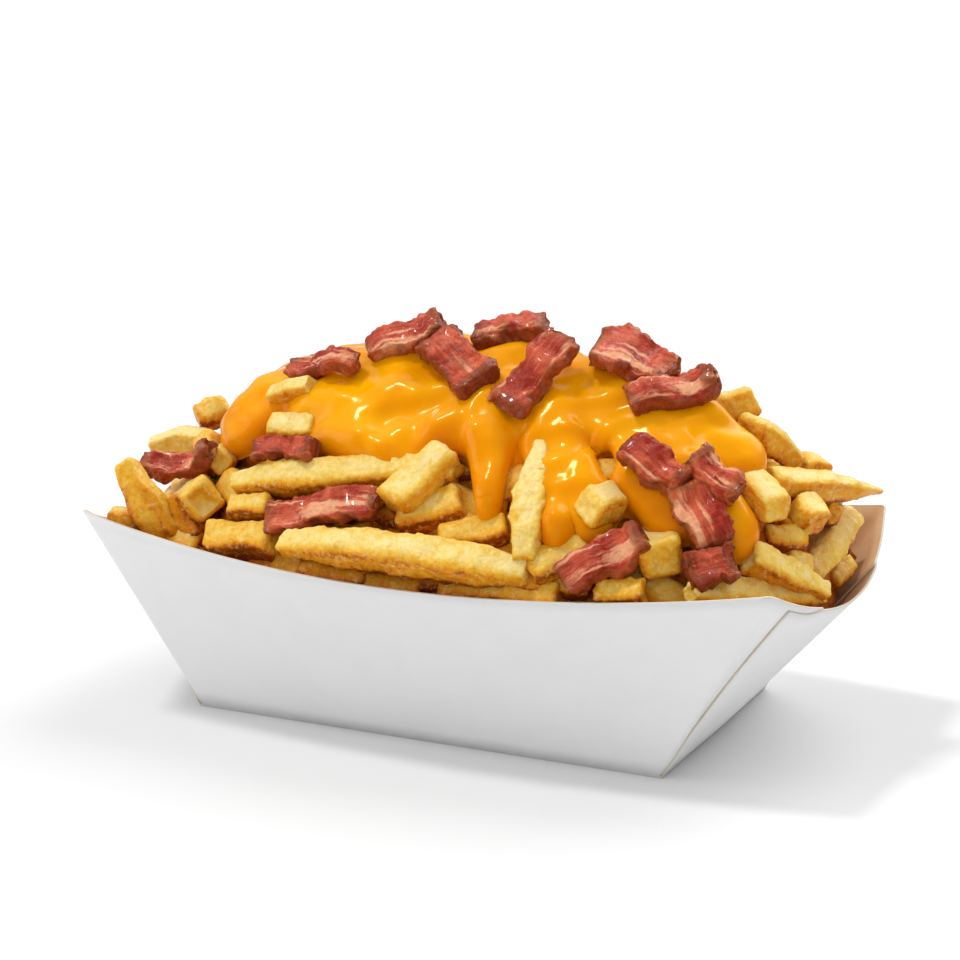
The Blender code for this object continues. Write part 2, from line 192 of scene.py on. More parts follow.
def superellipse(columns: int, power_x: float, power_y: float) -> tuple[Array, Array]:
    """Outline of a section that runs from -1 to 1 both ways, from round to nearly square.

    At angle a it is x = sign(cos a) |cos a|^power_x and y = sign(sin a) |sin a|^power_y.

    Args:
        columns: Number of points, the first half a step past the x axis.
        power_x: 1 for round and near 0 for square, along x.
        power_y: The same along y.

    Returns:
        The points' x and y.
    """
    angle = np.linspace(0, 2 * np.pi, columns, endpoint=False) + np.pi / columns
    x = np.sign(np.cos(angle)) * np.abs(np.cos(angle)) ** power_x
    y = np.sign(np.sin(angle)) * np.abs(np.sin(angle)) ** power_y
    return x, y


def tube_normals(grid: Array) -> Array:
    """Unit normals of a grid that closes round its second axis, pointing out of a tube.

    Each is the cross product of the step round the loop and the step along the tube.

    Args:
        grid: Points in rows of loops.

    Returns:
        One unit vector for each point.
    """
    along = np.gradient(grid, axis=0)
    around = np.roll(grid, -1, axis=1) - np.roll(grid, 1, axis=1)
    return unit(np.cross(around, along))


# Finishes


class Graph:
    """Short way to place and join shader nodes in one tree."""

    def __init__(self, tree: bpy.types.NodeTree) -> None:
        """Keep the tree that the nodes go into."""
        self.tree = tree

    def node(self, kind: str, settings: dict[str, object] | None = None, **inputs: object) -> bpy.types.Node:
        """Add a node.

        Args:
            kind: Node type without its ShaderNode prefix.
            settings: Values of the node's own properties.
            **inputs: Value or output socket for each input. The input is named with _ for a
                space, or by its number as in0, in1 and on.

        Returns:
            The new node.
        """
        made = self.tree.nodes.new("ShaderNode" + kind)
        for key, value in (settings or {}).items():
            setattr(made, key, value)
        for key, value in inputs.items():
            by_number = key.startswith("in") and key[2:].isdigit()
            socket = made.inputs[int(key[2:])] if by_number else made.inputs[key.replace("_", " ")]
            if isinstance(value, Socket):
                self.tree.links.new(value, socket)
            else:
                socket.default_value = value
        return made

    def math(self, operation: str, *values: object, clamp: bool = False) -> Socket:
        """Output of a Math node on these values."""
        inputs = {f"in{i}": value for i, value in enumerate(values)}
        return self.node("Math", {"operation": operation, "use_clamp": clamp}, **inputs).outputs[0]

    def speckle(
        self,
        place: object,
        scale: float,
        detail: float = 2.0,
        rough: float = 0.5,
        low: float = 0.0,
        high: float = 1.0,
    ) -> tuple[Socket, Socket]:
        """Place the shared speckle group.

        Args:
            place: Output socket of the coordinates.
            scale: Swellings in a metre.
            detail: Number of finer layers.
            rough: Weight of each finer layer.
            low: Noise level at which the mask is 0.
            high: Noise level at which the mask is 1.

        Returns:
            The noise level, and the mask.
        """
        group = self.node("Group", {"node_tree": speckle_group()})
        self.tree.links.new(place, group.inputs["Place"])
        numbers = {"Scale": scale, "Detail": detail, "Rough": rough, "Low": low, "High": high}
        for name, number in numbers.items():
            group.inputs[name].default_value = number
        return group.outputs["Level"], group.outputs["Mask"]

    def noise(self, place: object, scale: float, detail: float = 2.0, rough: float = 0.5) -> Socket:
        """Level output of the speckle group."""
        return self.speckle(place, scale, detail, rough)[0]

    def range(
        self, value: object, low: float, high: float, to_low: float = 0.0, to_high: float = 1.0
    ) -> Socket:
        """Value taken smoothly from one range to another, and held at its ends.

        Args:
            value: Number or output socket.
            low: Value that becomes to_low.
            high: Value that becomes to_high.
            to_low: Result at and below low.
            to_high: Result at and above high.

        Returns:
            Output socket of the result.
        """
        node = self.node("MapRange", {"interpolation_type": "SMOOTHSTEP"}, Value=value)
        for name, number in (("From Min", low), ("From Max", high), ("To Min", to_low), ("To Max", to_high)):
            node.inputs[name].default_value = number
        return node.outputs["Result"]

    def mix(self, factor: object, first: object, second: object, blend: str = "MIX") -> Socket:
        """Colour mixed from two others.

        Args:
            factor: Number or output socket, 0 for the first colour and 1 for the second.
            first: Colour or output socket.
            second: Colour or output socket.
            blend: How the second goes over the first.

        Returns:
            Output socket of the colour.
        """
        node = self.node("Mix", {"data_type": "RGBA", "blend_type": blend})
        for number, value in ((0, factor), (6, first), (7, second)):
            if isinstance(value, Socket):
                self.tree.links.new(value, node.inputs[number])
            else:
                node.inputs[number].default_value = (*value, 1.0) if isinstance(value, tuple) else value
        return node.outputs[2]

    def ramp(self, value: object, stops: list[tuple[float, Colour]]) -> Socket:
        """Colour read from a ramp.

        Args:
            value: Output socket that is looked up.
            stops: Places from 0 to 1 with their colours, in order.

        Returns:
            Output socket of the colour.
        """
        node = self.node("ValToRGB", Fac=value)
        elements = node.color_ramp.elements
        elements[0].position, elements[0].color = stops[0][0], (*stops[0][1], 1)
        elements[1].position, elements[1].color = stops[-1][0], (*stops[-1][1], 1)
        for position, colour in stops[1:-1]:
            elements.new(position).color = (*colour, 1)
        return node.outputs["Color"]

    def value_of(self, name: str) -> Socket:
        """Value stored on the mesh under this name."""
        return self.node("Attribute", {"attribute_name": name}).outputs["Fac"]

    def place(self) -> Socket:
        """Object coordinates."""
        return self.node("TexCoord").outputs["Object"]


def speckle_group() -> bpy.types.NodeTree:
    """Shader node group that every finish uses for its uneven look, made at its first use.

    Level is noise of so many swellings in a metre, and Mask is that level taken smoothly
    from 0 at Low to 1 at High.

    Returns:
        The group's node tree.
    """
    found = bpy.data.node_groups.get("speckle")
    if found:
        return found
    made = bpy.data.node_groups.new("speckle", "ShaderNodeTree")
    made.interface.new_socket("Place", in_out="INPUT", socket_type="NodeSocketVector")
    numbers = {"Scale": 100.0, "Detail": 2.0, "Rough": 0.5, "Low": 0.0, "High": 1.0}
    for name, number in numbers.items():
        made.interface.new_socket(name, in_out="INPUT", socket_type="NodeSocketFloat").default_value = number
    for name in ("Level", "Mask"):
        made.interface.new_socket(name, in_out="OUTPUT", socket_type="NodeSocketFloat")
    graph = Graph(made)
    given, result = made.nodes.new("NodeGroupInput").outputs, made.nodes.new("NodeGroupOutput").inputs
    noise = graph.node(
        "TexNoise",
        Vector=given["Place"],
        Scale=given["Scale"],
        Detail=given["Detail"],
        Roughness=given["Rough"],
    ).outputs["Fac"]
    mask = graph.node(
        "MapRange",
        {"interpolation_type": "SMOOTHSTEP"},
        Value=noise,
        From_Min=given["Low"],
        From_Max=given["High"],
    ).outputs["Result"]
    made.links.new(noise, result["Level"])
    made.links.new(mask, result["Mask"])
    return made


@dataclass(frozen=True)
class Finish:
    """What every finish here shares: a name and a Principled shader with set numbers.

    Scales in the finishes are swellings in a metre. A colour that an input feeds isn't read.

    Attributes:
        name: Name of the material.
        colour: Base colour.
        roughness: Roughness, where no input feeds it.
        gloss: Strength of the reflection.
        gloss_tint: Colour of the reflection.
        coat: Weight of the clear coat.
        coat_roughness: Roughness of the clear coat.
        glow_weight: How much light passes in and out again.
        glow_scale: How far it goes, in metres.
        glow_radius: How much further each colour goes.
    """

    name: str = "finish"
    colour: Colour = (0.8, 0.8, 0.8)
    roughness: float = 0.5
    gloss: float = 0.5
    gloss_tint: Colour = (1.0, 1.0, 1.0)
    coat: float = 0.0
    coat_roughness: float = 0.1
    glow_weight: float = 0.0
    glow_scale: float = 0.001
    glow_radius: Colour = (1.0, 0.4, 0.1)

    def build(self) -> bpy.types.Material:
        """Set the shader's constant numbers and join its changing inputs.

        Returns:
            The new material.
        """
        made = bpy.data.materials.new(self.name)
        made.use_nodes = True
        graph = Graph(made.node_tree)
        shader = made.node_tree.nodes["Principled BSDF"]
        for key, value in (
            ("Base Color", (*self.colour, 1)),
            ("Roughness", self.roughness),
            ("Specular IOR Level", self.gloss),
            ("Specular Tint", (*self.gloss_tint, 1)),
            ("Coat Weight", self.coat),
            ("Coat Roughness", self.coat_roughness),
            ("Subsurface Weight", self.glow_weight),
            ("Subsurface Scale", self.glow_scale),
            ("Subsurface Radius", self.glow_radius),
        ):
            shader.inputs[key].default_value = value
        for socket, output in self.inputs(graph).items():
            made.node_tree.links.new(output, shader.inputs[socket])
        return made

    def inputs(self, graph: Graph) -> dict[str, Socket]:
        """Outputs by the name of the shader's socket that each feeds, made by each finish."""
        raise NotImplementedError


def bump(graph: Graph, height: Socket, distance: float, strength: float = 1.0) -> Socket:
    """Normal output of a Bump node over a height."""
    return graph.node("Bump", Height=height, Distance=distance, Strength=strength).outputs["Normal"]


@dataclass(frozen=True)
class BoardFinish(Finish):
    """Paperboard with faint fibres, blotched a little between its colour and a deeper tone."""

    deep: Colour = (0.78, 0.78, 0.78)
    roughness: float = 0.55
    fibre_scale: float = 2600.0
    blotch_scale: float = 90.0

    def inputs(self, graph: Graph) -> dict[str, Socket]:
        """Colour mottled between two tones, and fibres as a fine bump.

        Args:
            graph: Shader tree that the nodes go into.

        Returns:
            Outputs by the name of the shader's socket that each feeds.
        """
        place = graph.place()
        stretched = graph.node("Mapping", Vector=place, Scale=(0.25, 1.0, 1.0)).outputs[0]
        fibre = graph.noise(stretched, self.fibre_scale, 3, 0.6)
        blotch = graph.speckle(place, self.blotch_scale, 3, 0.6, 0.35, 0.65)[1]
        return {
            "Base Color": graph.mix(blotch, self.colour, self.deep),
            "Normal": bump(graph, fibre, 0.00003, 0.35),
            "Roughness": graph.range(fibre, 0.2, 0.8, self.roughness - 0.05, self.roughness + 0.06),
        }


WHITE_BOARD = BoardFinish("white_board", colour=(0.80, 0.80, 0.80), deep=(0.785, 0.785, 0.785))
BROWN_BOARD = BoardFinish("brown_board", colour=(0.56, 0.34, 0.18), deep=(0.50, 0.29, 0.14), roughness=0.7)
CUT_EDGE = BoardFinish("cut_edge", colour=(0.72, 0.66, 0.55), deep=(0.66, 0.58, 0.46), roughness=0.8)


@dataclass(frozen=True)
class FriedPotatoFinish(Finish):
    """Fried potato: pale faces, golden edges and ends, and brown spots and blisters.

    It reads fry_edge, 1 on edges and ends, fry_tone_and_shade, how brown a place is with painted
    shade added on its undersides and deep in the heap, and fry_gap_shade, painted shade that is 1
    deep between the fries.
    """

    name: str = "fried_potato"
    chalk: Colour = (0.88, 0.68, 0.27)
    pale: Colour = (0.84, 0.59, 0.13)
    gold: Colour = (0.80, 0.43, 0.028)
    deep: Colour = (0.72, 0.25, 0.006)
    brown: Colour = (0.30, 0.065, 0.003)
    gap: Colour = (0.66, 0.29, 0.03)
    gap_shade_weight: float = 0.75
    roughness: float = 0.42
    gloss: float = 0.25
    gloss_tint: Colour = (1.0, 0.82, 0.45)
    coat: float = 0.05
    coat_roughness: float = 0.2
    glow_weight: float = 0.25
    glow_scale: float = 0.0025
    glow_radius: Colour = (1.0, 0.55, 0.15)
    patch_scale: float = 130.0
    freckle_scale: float = 700.0
    bead_scale: float = 800.0
    grain_scale: float = 1500.0
    pit_scale: float = 420.0

    def inputs(self, graph: Graph) -> dict[str, Socket]:
        """Browning and painted shade are edge, tone and noise added up, read through a ramp of tones.

        Args:
            graph: Shader tree that the nodes go into.

        Returns:
            Outputs by the name of the shader's socket that each feeds.
        """
        place = graph.place()
        edge, tone = graph.value_of("fry_edge"), graph.value_of("fry_tone_and_shade")
        patches = graph.noise(place, self.patch_scale, 4, 0.6)
        freckles = graph.noise(place, self.freckle_scale, 4, 0.65)
        browning_and_shade = graph.math("MULTIPLY_ADD", edge, 0.28, graph.math("MULTIPLY_ADD", tone, 0.6, 0.13))
        browning_and_shade = graph.math("MULTIPLY_ADD", graph.math("SUBTRACT", patches, 0.5), 0.55, browning_and_shade)
        browning_and_shade = graph.math("MULTIPLY_ADD", graph.math("SUBTRACT", freckles, 0.5), 1.0, browning_and_shade)
        colour = graph.ramp(
            browning_and_shade,
            [(0.0, self.chalk), (0.18, self.pale), (0.46, self.gold), (0.76, self.deep), (1.0, self.brown)],
        )
        # Painted shade: fry_gap_shade darkens the colour deep between the fries.
        shade = graph.math("MULTIPLY", graph.value_of("fry_gap_shade"), self.gap_shade_weight)
        colour = graph.mix(shade, colour, self.gap, "MULTIPLY")
        # Pale speckles: partly pale blisters and partly painted glints on them.
        beads_and_glints = graph.speckle(place, self.bead_scale, 2, 0.5, 0.56, 0.7)[1]
        colour = graph.mix(graph.math("MULTIPLY", beads_and_glints, 0.4), colour, self.chalk)
        grain = graph.noise(place, self.grain_scale, 3, 0.6)
        pits = graph.noise(place, self.pit_scale, 2, 0.5)
        height = graph.math("MULTIPLY_ADD", grain, 0.4, graph.math("MULTIPLY_ADD", beads_and_glints, 0.12, pits))
        return {
            "Base Color": colour,
            "Roughness": graph.range(freckles, 0.35, 0.65, 0.22, 0.46),
            "Normal": bump(graph, height, 0.0006, 0.85),
        }


@dataclass(frozen=True)
class CheeseFinish(Finish):
    """Cheese sauce: deep yellow, smooth and glossy, with light passing through it.

    It reads sauce_steep_shade, painted shade that is 0 where the sheet is level and 1 where it is steep.
    """

    name: str = "cheese"
    # bright is the colour of level, lit tops and deep that of steep faces in painted shade; soft swirls mix
    # the two as well.
    bright: Colour = (0.97, 0.44, 0.0005)
    deep: Colour = (0.78, 0.22, 0.0003)
    roughness: float = 0.2
    gloss: float = 0.24
    gloss_tint: Colour = (1.0, 0.7, 0.2)
    coat: float = 0.02
    coat_roughness: float = 0.04
    glow_weight: float = 0.2
    glow_scale: float = 0.002
    glow_radius: Colour = (1.0, 0.4, 0.03)
    swirl_scale: float = 60.0
    skin_scale: float = 260.0

    def inputs(self, graph: Graph) -> dict[str, Socket]:
        """Painted shade deeper where the sheet is steep, with soft swirls, and a faint uneven skin.

        Args:
            graph: Shader tree that the nodes go into.

        Returns:
            Outputs by the name of the shader's socket that each feeds.
        """
        place = graph.place()
        swirl = graph.math("SUBTRACT", graph.noise(place, self.swirl_scale, 2, 0.5), 0.5)
        steep = graph.math("MULTIPLY_ADD", graph.value_of("sauce_steep_shade"), 0.4, 0.36)
        swirl = graph.math("MULTIPLY_ADD", swirl, 1.5, steep, clamp=True)
        skin = graph.noise(place, self.skin_scale, 2, 0.5)
        return {
            "Base Color": graph.mix(swirl, self.bright, self.deep),
            "Roughness": graph.range(skin, 0.3, 0.7, 0.1, 0.2),
            "Normal": bump(graph, skin, 0.0006, 0.12),
        }


@dataclass(frozen=True)
class BaconFinish(Finish):
    """Fried bacon: red lean and pale fat in streaks along a piece, darker at its edges.

    It reads meat_across and meat_along, places on a piece in millimetres, meat_edge, 1 on
    edges and ends, and meat_kind, a number for each piece.
    """

    name: str = "bacon"
    lean: Colour = (0.32, 0.011, 0.005)
    pink: Colour = (0.64, 0.10, 0.042)
    fat: Colour = (0.82, 0.38, 0.20)
    toast: Colour = (0.48, 0.11, 0.02)
    crisp: Colour = (0.19, 0.026, 0.007)
    roughness: float = 0.3
    gloss: float = 0.42
    gloss_tint: Colour = (1.0, 0.6, 0.4)
    coat: float = 0.1
    coat_roughness: float = 0.08
    glow_weight: float = 0.15
    glow_scale: float = 0.0015
    glow_radius: Colour = (1.0, 0.3, 0.15)
    mottle_scale: float = 380.0
    blush_scale: float = 110.0
    grain_scale: float = 1100.0
    wet_scale: float = 520.0

    def inputs(self, graph: Graph) -> dict[str, Socket]:
        """Streaks are noise over the piece's own places, squeezed along it.

        Args:
            graph: Shader tree that the nodes go into.

        Returns:
            Outputs by the name of the shader's socket that each feeds.
        """
        across, along = graph.value_of("meat_across"), graph.value_of("meat_along")
        edge, kind = graph.value_of("meat_edge"), graph.value_of("meat_kind")
        place = graph.place()
        own = graph.node(
            "CombineXYZ", X=across, Y=graph.math("MULTIPLY", along, 0.1), Z=graph.math("MULTIPLY", kind, 37.0)
        ).outputs[0]
        wide_streak = graph.math("MULTIPLY", graph.noise(own, 0.26, 2, 0.5), 0.6)
        streak = graph.math("MULTIPLY_ADD", graph.noise(own, 0.8, 2, 0.5), 0.4, wide_streak)
        strands = graph.noise(own, 1.3, 3, 0.65)
        mottle = graph.noise(place, self.mottle_scale, 3, 0.6)
        blush = graph.noise(place, self.blush_scale, 2, 0.5)
        meat = graph.math("MULTIPLY_ADD", blush, 0.7, graph.math("MULTIPLY", strands, 0.5))
        meat = graph.mix(graph.range(meat, 0.48, 0.72), self.lean, self.pink)
        fatty = graph.math("MULTIPLY_ADD", mottle, 0.16, graph.math("MULTIPLY_ADD", kind, -0.1, streak))
        meat = graph.mix(graph.range(fatty, 0.525, 0.61), meat, self.fat)
        toasted = graph.math("MULTIPLY_ADD", graph.math("SUBTRACT", blush, 0.5), 1.6, edge)
        meat = graph.mix(graph.range(toasted, 0.35, 1.0, 0.0, 0.6), meat, self.toast)
        burnt = graph.math("MULTIPLY_ADD", edge, 0.42, graph.math("MULTIPLY", kind, 0.55))
        burnt = graph.math("MULTIPLY_ADD", graph.math("SUBTRACT", mottle, 0.5), 1.3, burnt)
        colour = graph.mix(graph.range(burnt, 0.35, 0.95, 0.0, 0.85), meat, self.crisp)
        grain = graph.noise(place, self.grain_scale, 3, 0.6)
        wet = graph.noise(place, self.wet_scale, 2, 0.5)
        height = graph.math("MULTIPLY_ADD", grain, 0.7, graph.math("MULTIPLY", mottle, 0.8))
        height = graph.math("MULTIPLY_ADD", strands, 0.5, height)
        return {
            "Base Color": colour,
            "Roughness": graph.range(mottle, 0.35, 0.65, 0.16, 0.42),
            "Coat Weight": graph.range(wet, 0.53, 0.66, 0.0, 0.55),
            "Normal": bump(graph, height, 0.0008, 0.8),
        }


@dataclass(frozen=True)
class FloorFinish(Finish):
    """Plain white studio floor."""

    name: str = "studio_floor"
    colour: Colour = (0.77, 0.77, 0.77)
    roughness: float = 0.9
    gloss: float = 0.0

    def inputs(self, graph: Graph) -> dict[str, Socket]:
        """Even white, with a roughness that wanders a little."""
        grain = graph.noise(graph.place(), 40, 2, 0.5)
        return {"Roughness": graph.range(grain, 0.3, 0.7, 0.85, 0.95)}


# Tray


@dataclass(frozen=True)
class Tray:
    """The open tray: two long walls that wrap round the corners, two end panels and a base.

    Attributes:
        base_x: Half the length of the base.
        base_y: Half the width of the base.
        flare_x: How far an end leans out at its corners.
        flare_y: How far a long wall leans out at its corners.
        corner_z: Height of the corners.
        side_bow: How much further a long wall's rim stands out at its middle.
        side_dip: How much lower a long wall's rim is at its middle.
        end_bow: The same bow of an end's rim.
        end_dip: The same dip of an end's rim.
        board: Thickness of the board.
        play: Room between an end panel and the flap behind it.
        lift: Height of the lowest board over the ground.
        flap_end: How near the flaps come to the middle of an end, as a share of it.
        soft: Share of a long wall at which its corner starts to turn.
        tight: Share of an end at which that turn is over.
        panel_foot: Share of an end that the panel covers at the base.
        panel_rim: Share of an end that the panel covers at the rim.
        panel_drop: How much lower the panel's rim is near the corners.
        drop_from: Share of an end at which that drop starts.
        drop_to: Share of an end at which that drop is full.
    """

    base_x: float = 61.2
    base_y: float = 35.8
    flare_x: float = 27.8
    flare_y: float = 8.3
    corner_z: float = 49.0
    side_bow: float = 8.0
    side_dip: float = 7.2
    end_bow: float = 6.1
    end_dip: float = 11.3
    board: float = 0.5
    play: float = 0.06
    lift: float = 0.02
    flap_end: float = 0.45
    soft: float = 0.975
    tight: float = 0.945
    panel_foot: float = 0.997
    panel_rim: float = 0.79
    panel_drop: float = 1.7
    drop_from: float = 0.42
    drop_to: float = 0.62

    def ruling(self, side: int, s: Array) -> tuple[Array, Array]:
        """Lower and upper ends of the straight lines of board at s along a wall.

        The rim is bowed out and dipped by 1 - s * s from one corner to the other.

        Args:
            side: 0 to 3 for front, right, back and left.
            s: Places from -1 to 1 along the wall.

        Returns:
            Points on the base's edge and points on the rim.
        """
        s = np.asarray(s, float)
        arch, none = 1 - s**2, 0 * s
        rim_x, rim_y = self.base_x + self.flare_x, self.base_y + self.flare_y
        if side % 2 == 0:
            rim_z = self.corner_z - self.side_dip * arch
            low = np.stack([self.base_x * s, -self.base_y + none, none], -1)
            high = np.stack([rim_x * s, -rim_y - self.side_bow * arch, rim_z], -1)
        else:
            rim_z = self.corner_z - self.end_dip * arch
            low = np.stack([self.base_x + none, self.base_y * s, none], -1)
            high = np.stack([rim_x + self.end_bow * arch, rim_y * s, rim_z], -1)
        turn = np.array([-1, -1, 1]) if side >= 2 else np.ones(3)
        return low * turn, high * turn

    def holds(self, points: Array, thick: Array) -> Array:
        """Whether balls at these points lie within the walls.

        A wall stands base + (flare + bow * arch) * part from the middle, where arch is
        1 - s * s along it and part is the height as a share of its rim's height.

        Args:
            points: Middles of the balls.
            thick: Thicknesses of the balls.

        Returns:
            True for each ball inside.
        """
        rim_x, rim_y = self.base_x + self.flare_x, self.base_y + self.flare_y
        arch_x = np.clip(1 - (points[:, 1] / rim_y) ** 2, 0, 1)
        arch_y = np.clip(1 - (points[:, 0] / rim_x) ** 2, 0, 1)
        part_x = np.clip(points[:, 2] / (self.corner_z - self.end_dip * arch_x), 0, 1)
        part_y = np.clip(points[:, 2] / (self.corner_z - self.side_dip * arch_y), 0, 1)
        room_x = self.base_x + (self.flare_x + self.end_bow * arch_x) * part_x
        room_y = self.base_y + (self.flare_y + self.side_bow * arch_y) * part_y
        reach = np.abs(points[:, :2]) + thick[:, None] / 2
        return (reach[:, 0] < room_x) & (reach[:, 1] < room_y)

    def outward(self, side: int, s: Array) -> Array:
        """Unit normals of a wall half-way up it, pointing out of the tray.

        Args:
            side: 0 to 3 for front, right, back and left.
            s: Places from -1 to 1 along the wall.

        Returns:
            One unit vector for each place.
        """
        low, high = self.ruling(side, s)
        low_next, high_next = self.ruling(side, np.asarray(s, float) + 1e-3)
        return unit(np.cross(low_next - low + high_next - high, high - low))

    def long_wall(self, side: int) -> Surface:
        """Outer sheet of a long wall with its flaps, which turn in behind the end panels.

        Each corner is a quadratic curve (1-t)^2 A + 2t(1-t) E + t^2 B from a point A of
        one wall to a point B of the next, with the corner E as its handle.

        Args:
            side: 0 for the front and 2 for the back.

        Returns:
            Open sheet, facing out.
        """
        before, after = (side - 1) % 4, (side + 1) % 4
        inset = self.board + self.play
        soft, tight = self.soft, self.tight
        first = np.linspace(self.flap_end, tight, 12)
        lows, highs = [], []

        def add(part: tuple[Array, Array], shift: Array | float = 0.0) -> None:
            """Add rulings, moved by the shift."""
            lows.append(part[0] + shift)
            highs.append(part[1] + shift)

        flap_low, flap_high = self.ruling(before, first)
        shift = -self.outward(before, first) * inset
        add((flap_low, flap_high), shift)
        self._corner(lows, highs, before, tight, side, -soft, inset, 0.0)
        add(self.ruling(side, np.linspace(-soft, soft, 61)))
        self._corner(lows, highs, side, soft, after, -tight, 0.0, inset)
        last = -first[::-1]
        flap_low, flap_high = self.ruling(after, last)
        add((flap_low, flap_high), -self.outward(after, last) * inset)
        low, high = np.concatenate(lows), np.concatenate(highs)
        low[:, 2] = np.maximum(low[:, 2], self.lift)
        rise = np.linspace(0, 1, 13)[:, None, None]
        grid = low * (1 - rise) + high * rise
        return Surface(grid.reshape(-1, 3), sheet_quads(*grid.shape[:2]))

    def _corner(
        self,
        lows: list[Array],
        highs: list[Array],
        side: int,
        s: float,
        other: int,
        q: float,
        inset: float,
        other_inset: float,
    ) -> None:
        """Add the rulings that fold softly from one wall round a corner to the next.

        Args:
            lows: Lower ends, to which the new ones are added.
            highs: Upper ends, to which the new ones are added.
            side: Wall that the fold leaves.
            s: Place on it where the fold starts.
            other: Wall that the fold comes to.
            q: Place on it where the fold is over.
            inset: How far inside the first wall the board lies.
            other_inset: How far inside the second wall the board lies.
        """
        t = np.linspace(0, 1, 11)[1:-1, None]
        starts = self.ruling(side, np.array([s])), self.outward(side, np.array([s])) * inset
        ends = self.ruling(other, np.array([q])), self.outward(other, np.array([q])) * other_inset
        corners = self.ruling(side, np.array([1.0]))
        for rows, k in ((lows, 0), (highs, 1)):
            a, b, e = starts[0][k] - starts[1], ends[0][k] - ends[1], corners[k]
            rows.append((1 - t) ** 2 * a + 2 * t * (1 - t) * e + t**2 * b)

    def end_panel(self, side: int) -> Surface:
        """Outer sheet of an end panel, whose side edges run from the base's corners to the rim.

        A point is low + (high - low) * reach at s = u * share, where the share shrinks from
        the foot to the rim and the reach is v, a little less where the rim drops.

        Args:
            side: 1 for the right end and 3 for the left.

        Returns:
            Open sheet, facing out.
        """
        u, v = np.meshgrid(np.linspace(-1, 1, 49), np.linspace(0, 1, 15))
        s = u * (self.panel_foot - (self.panel_foot - self.panel_rim) * v)
        low, high = self.ruling(side, s)
        drop = self.panel_drop * smooth_step(self.drop_from, self.drop_to, np.abs(s))
        reach = (v * (1 - drop / self.corner_z))[..., None]
        grid = low * (1 - reach) + high * reach
        grid[..., 2] = np.maximum(grid[..., 2], self.lift)
        return Surface(grid.reshape(-1, 3), sheet_quads(*grid.shape[:2]))

    def base(self) -> Surface:
        """Sheet of the base, facing down.

        Returns:
            Flat open sheet between the walls' lower edges.
        """
        x, y = np.meshgrid(np.linspace(-1, 1, 25) * self.base_x, np.linspace(-1, 1, 15) * self.base_y)
        grid = np.stack([x, y, 0 * x + self.lift], -1)
        return Surface(grid.reshape(-1, 3), sheet_quads(*grid.shape[:2])[:, ::-1])

    def walls(self) -> list[Surface]:
        """The long walls and the end panels."""
        return [self.long_wall(0), self.long_wall(2), self.end_panel(1), self.end_panel(3)]

    def build(
        self, outside: bpy.types.Material, inside: bpy.types.Material, cut: bpy.types.Material
    ) -> bpy.types.Object:
        """Join the sheets into the tray and give the board its thickness.

        Args:
            outside: Material of the board's outer face.
            inside: Material of its inner face.
            cut: Material of its cut edges.

        Returns:
            The tray's object.
        """
        sheets = Surface.joined([*self.walls(), self.base()])
        tray = sheets.piece("paperboard_tray", "board", [outside, inside, cut])
        thick = tray.modifiers.new("board", "SOLIDIFY")
        thick.thickness, thick.offset = self.board * MM, -1
        thick.material_offset, thick.material_offset_rim = 1, 2
        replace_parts(tray, "carton")
        return tray


def sheet_quads(rows: int, columns: int) -> Array:
    """Quads of an open grid.

    Args:
        rows: Number of rows of points.
        columns: Number of points in a row.

    Returns:
        Four point numbers for each quad.
    """
    r, c = np.meshgrid(np.arange(rows - 1), np.arange(columns - 1), indexing="ij")
    at = r * columns + c
    return np.stack([at, at + 1, at + columns + 1, at + columns], -1).reshape(-1, 4)


# Heap


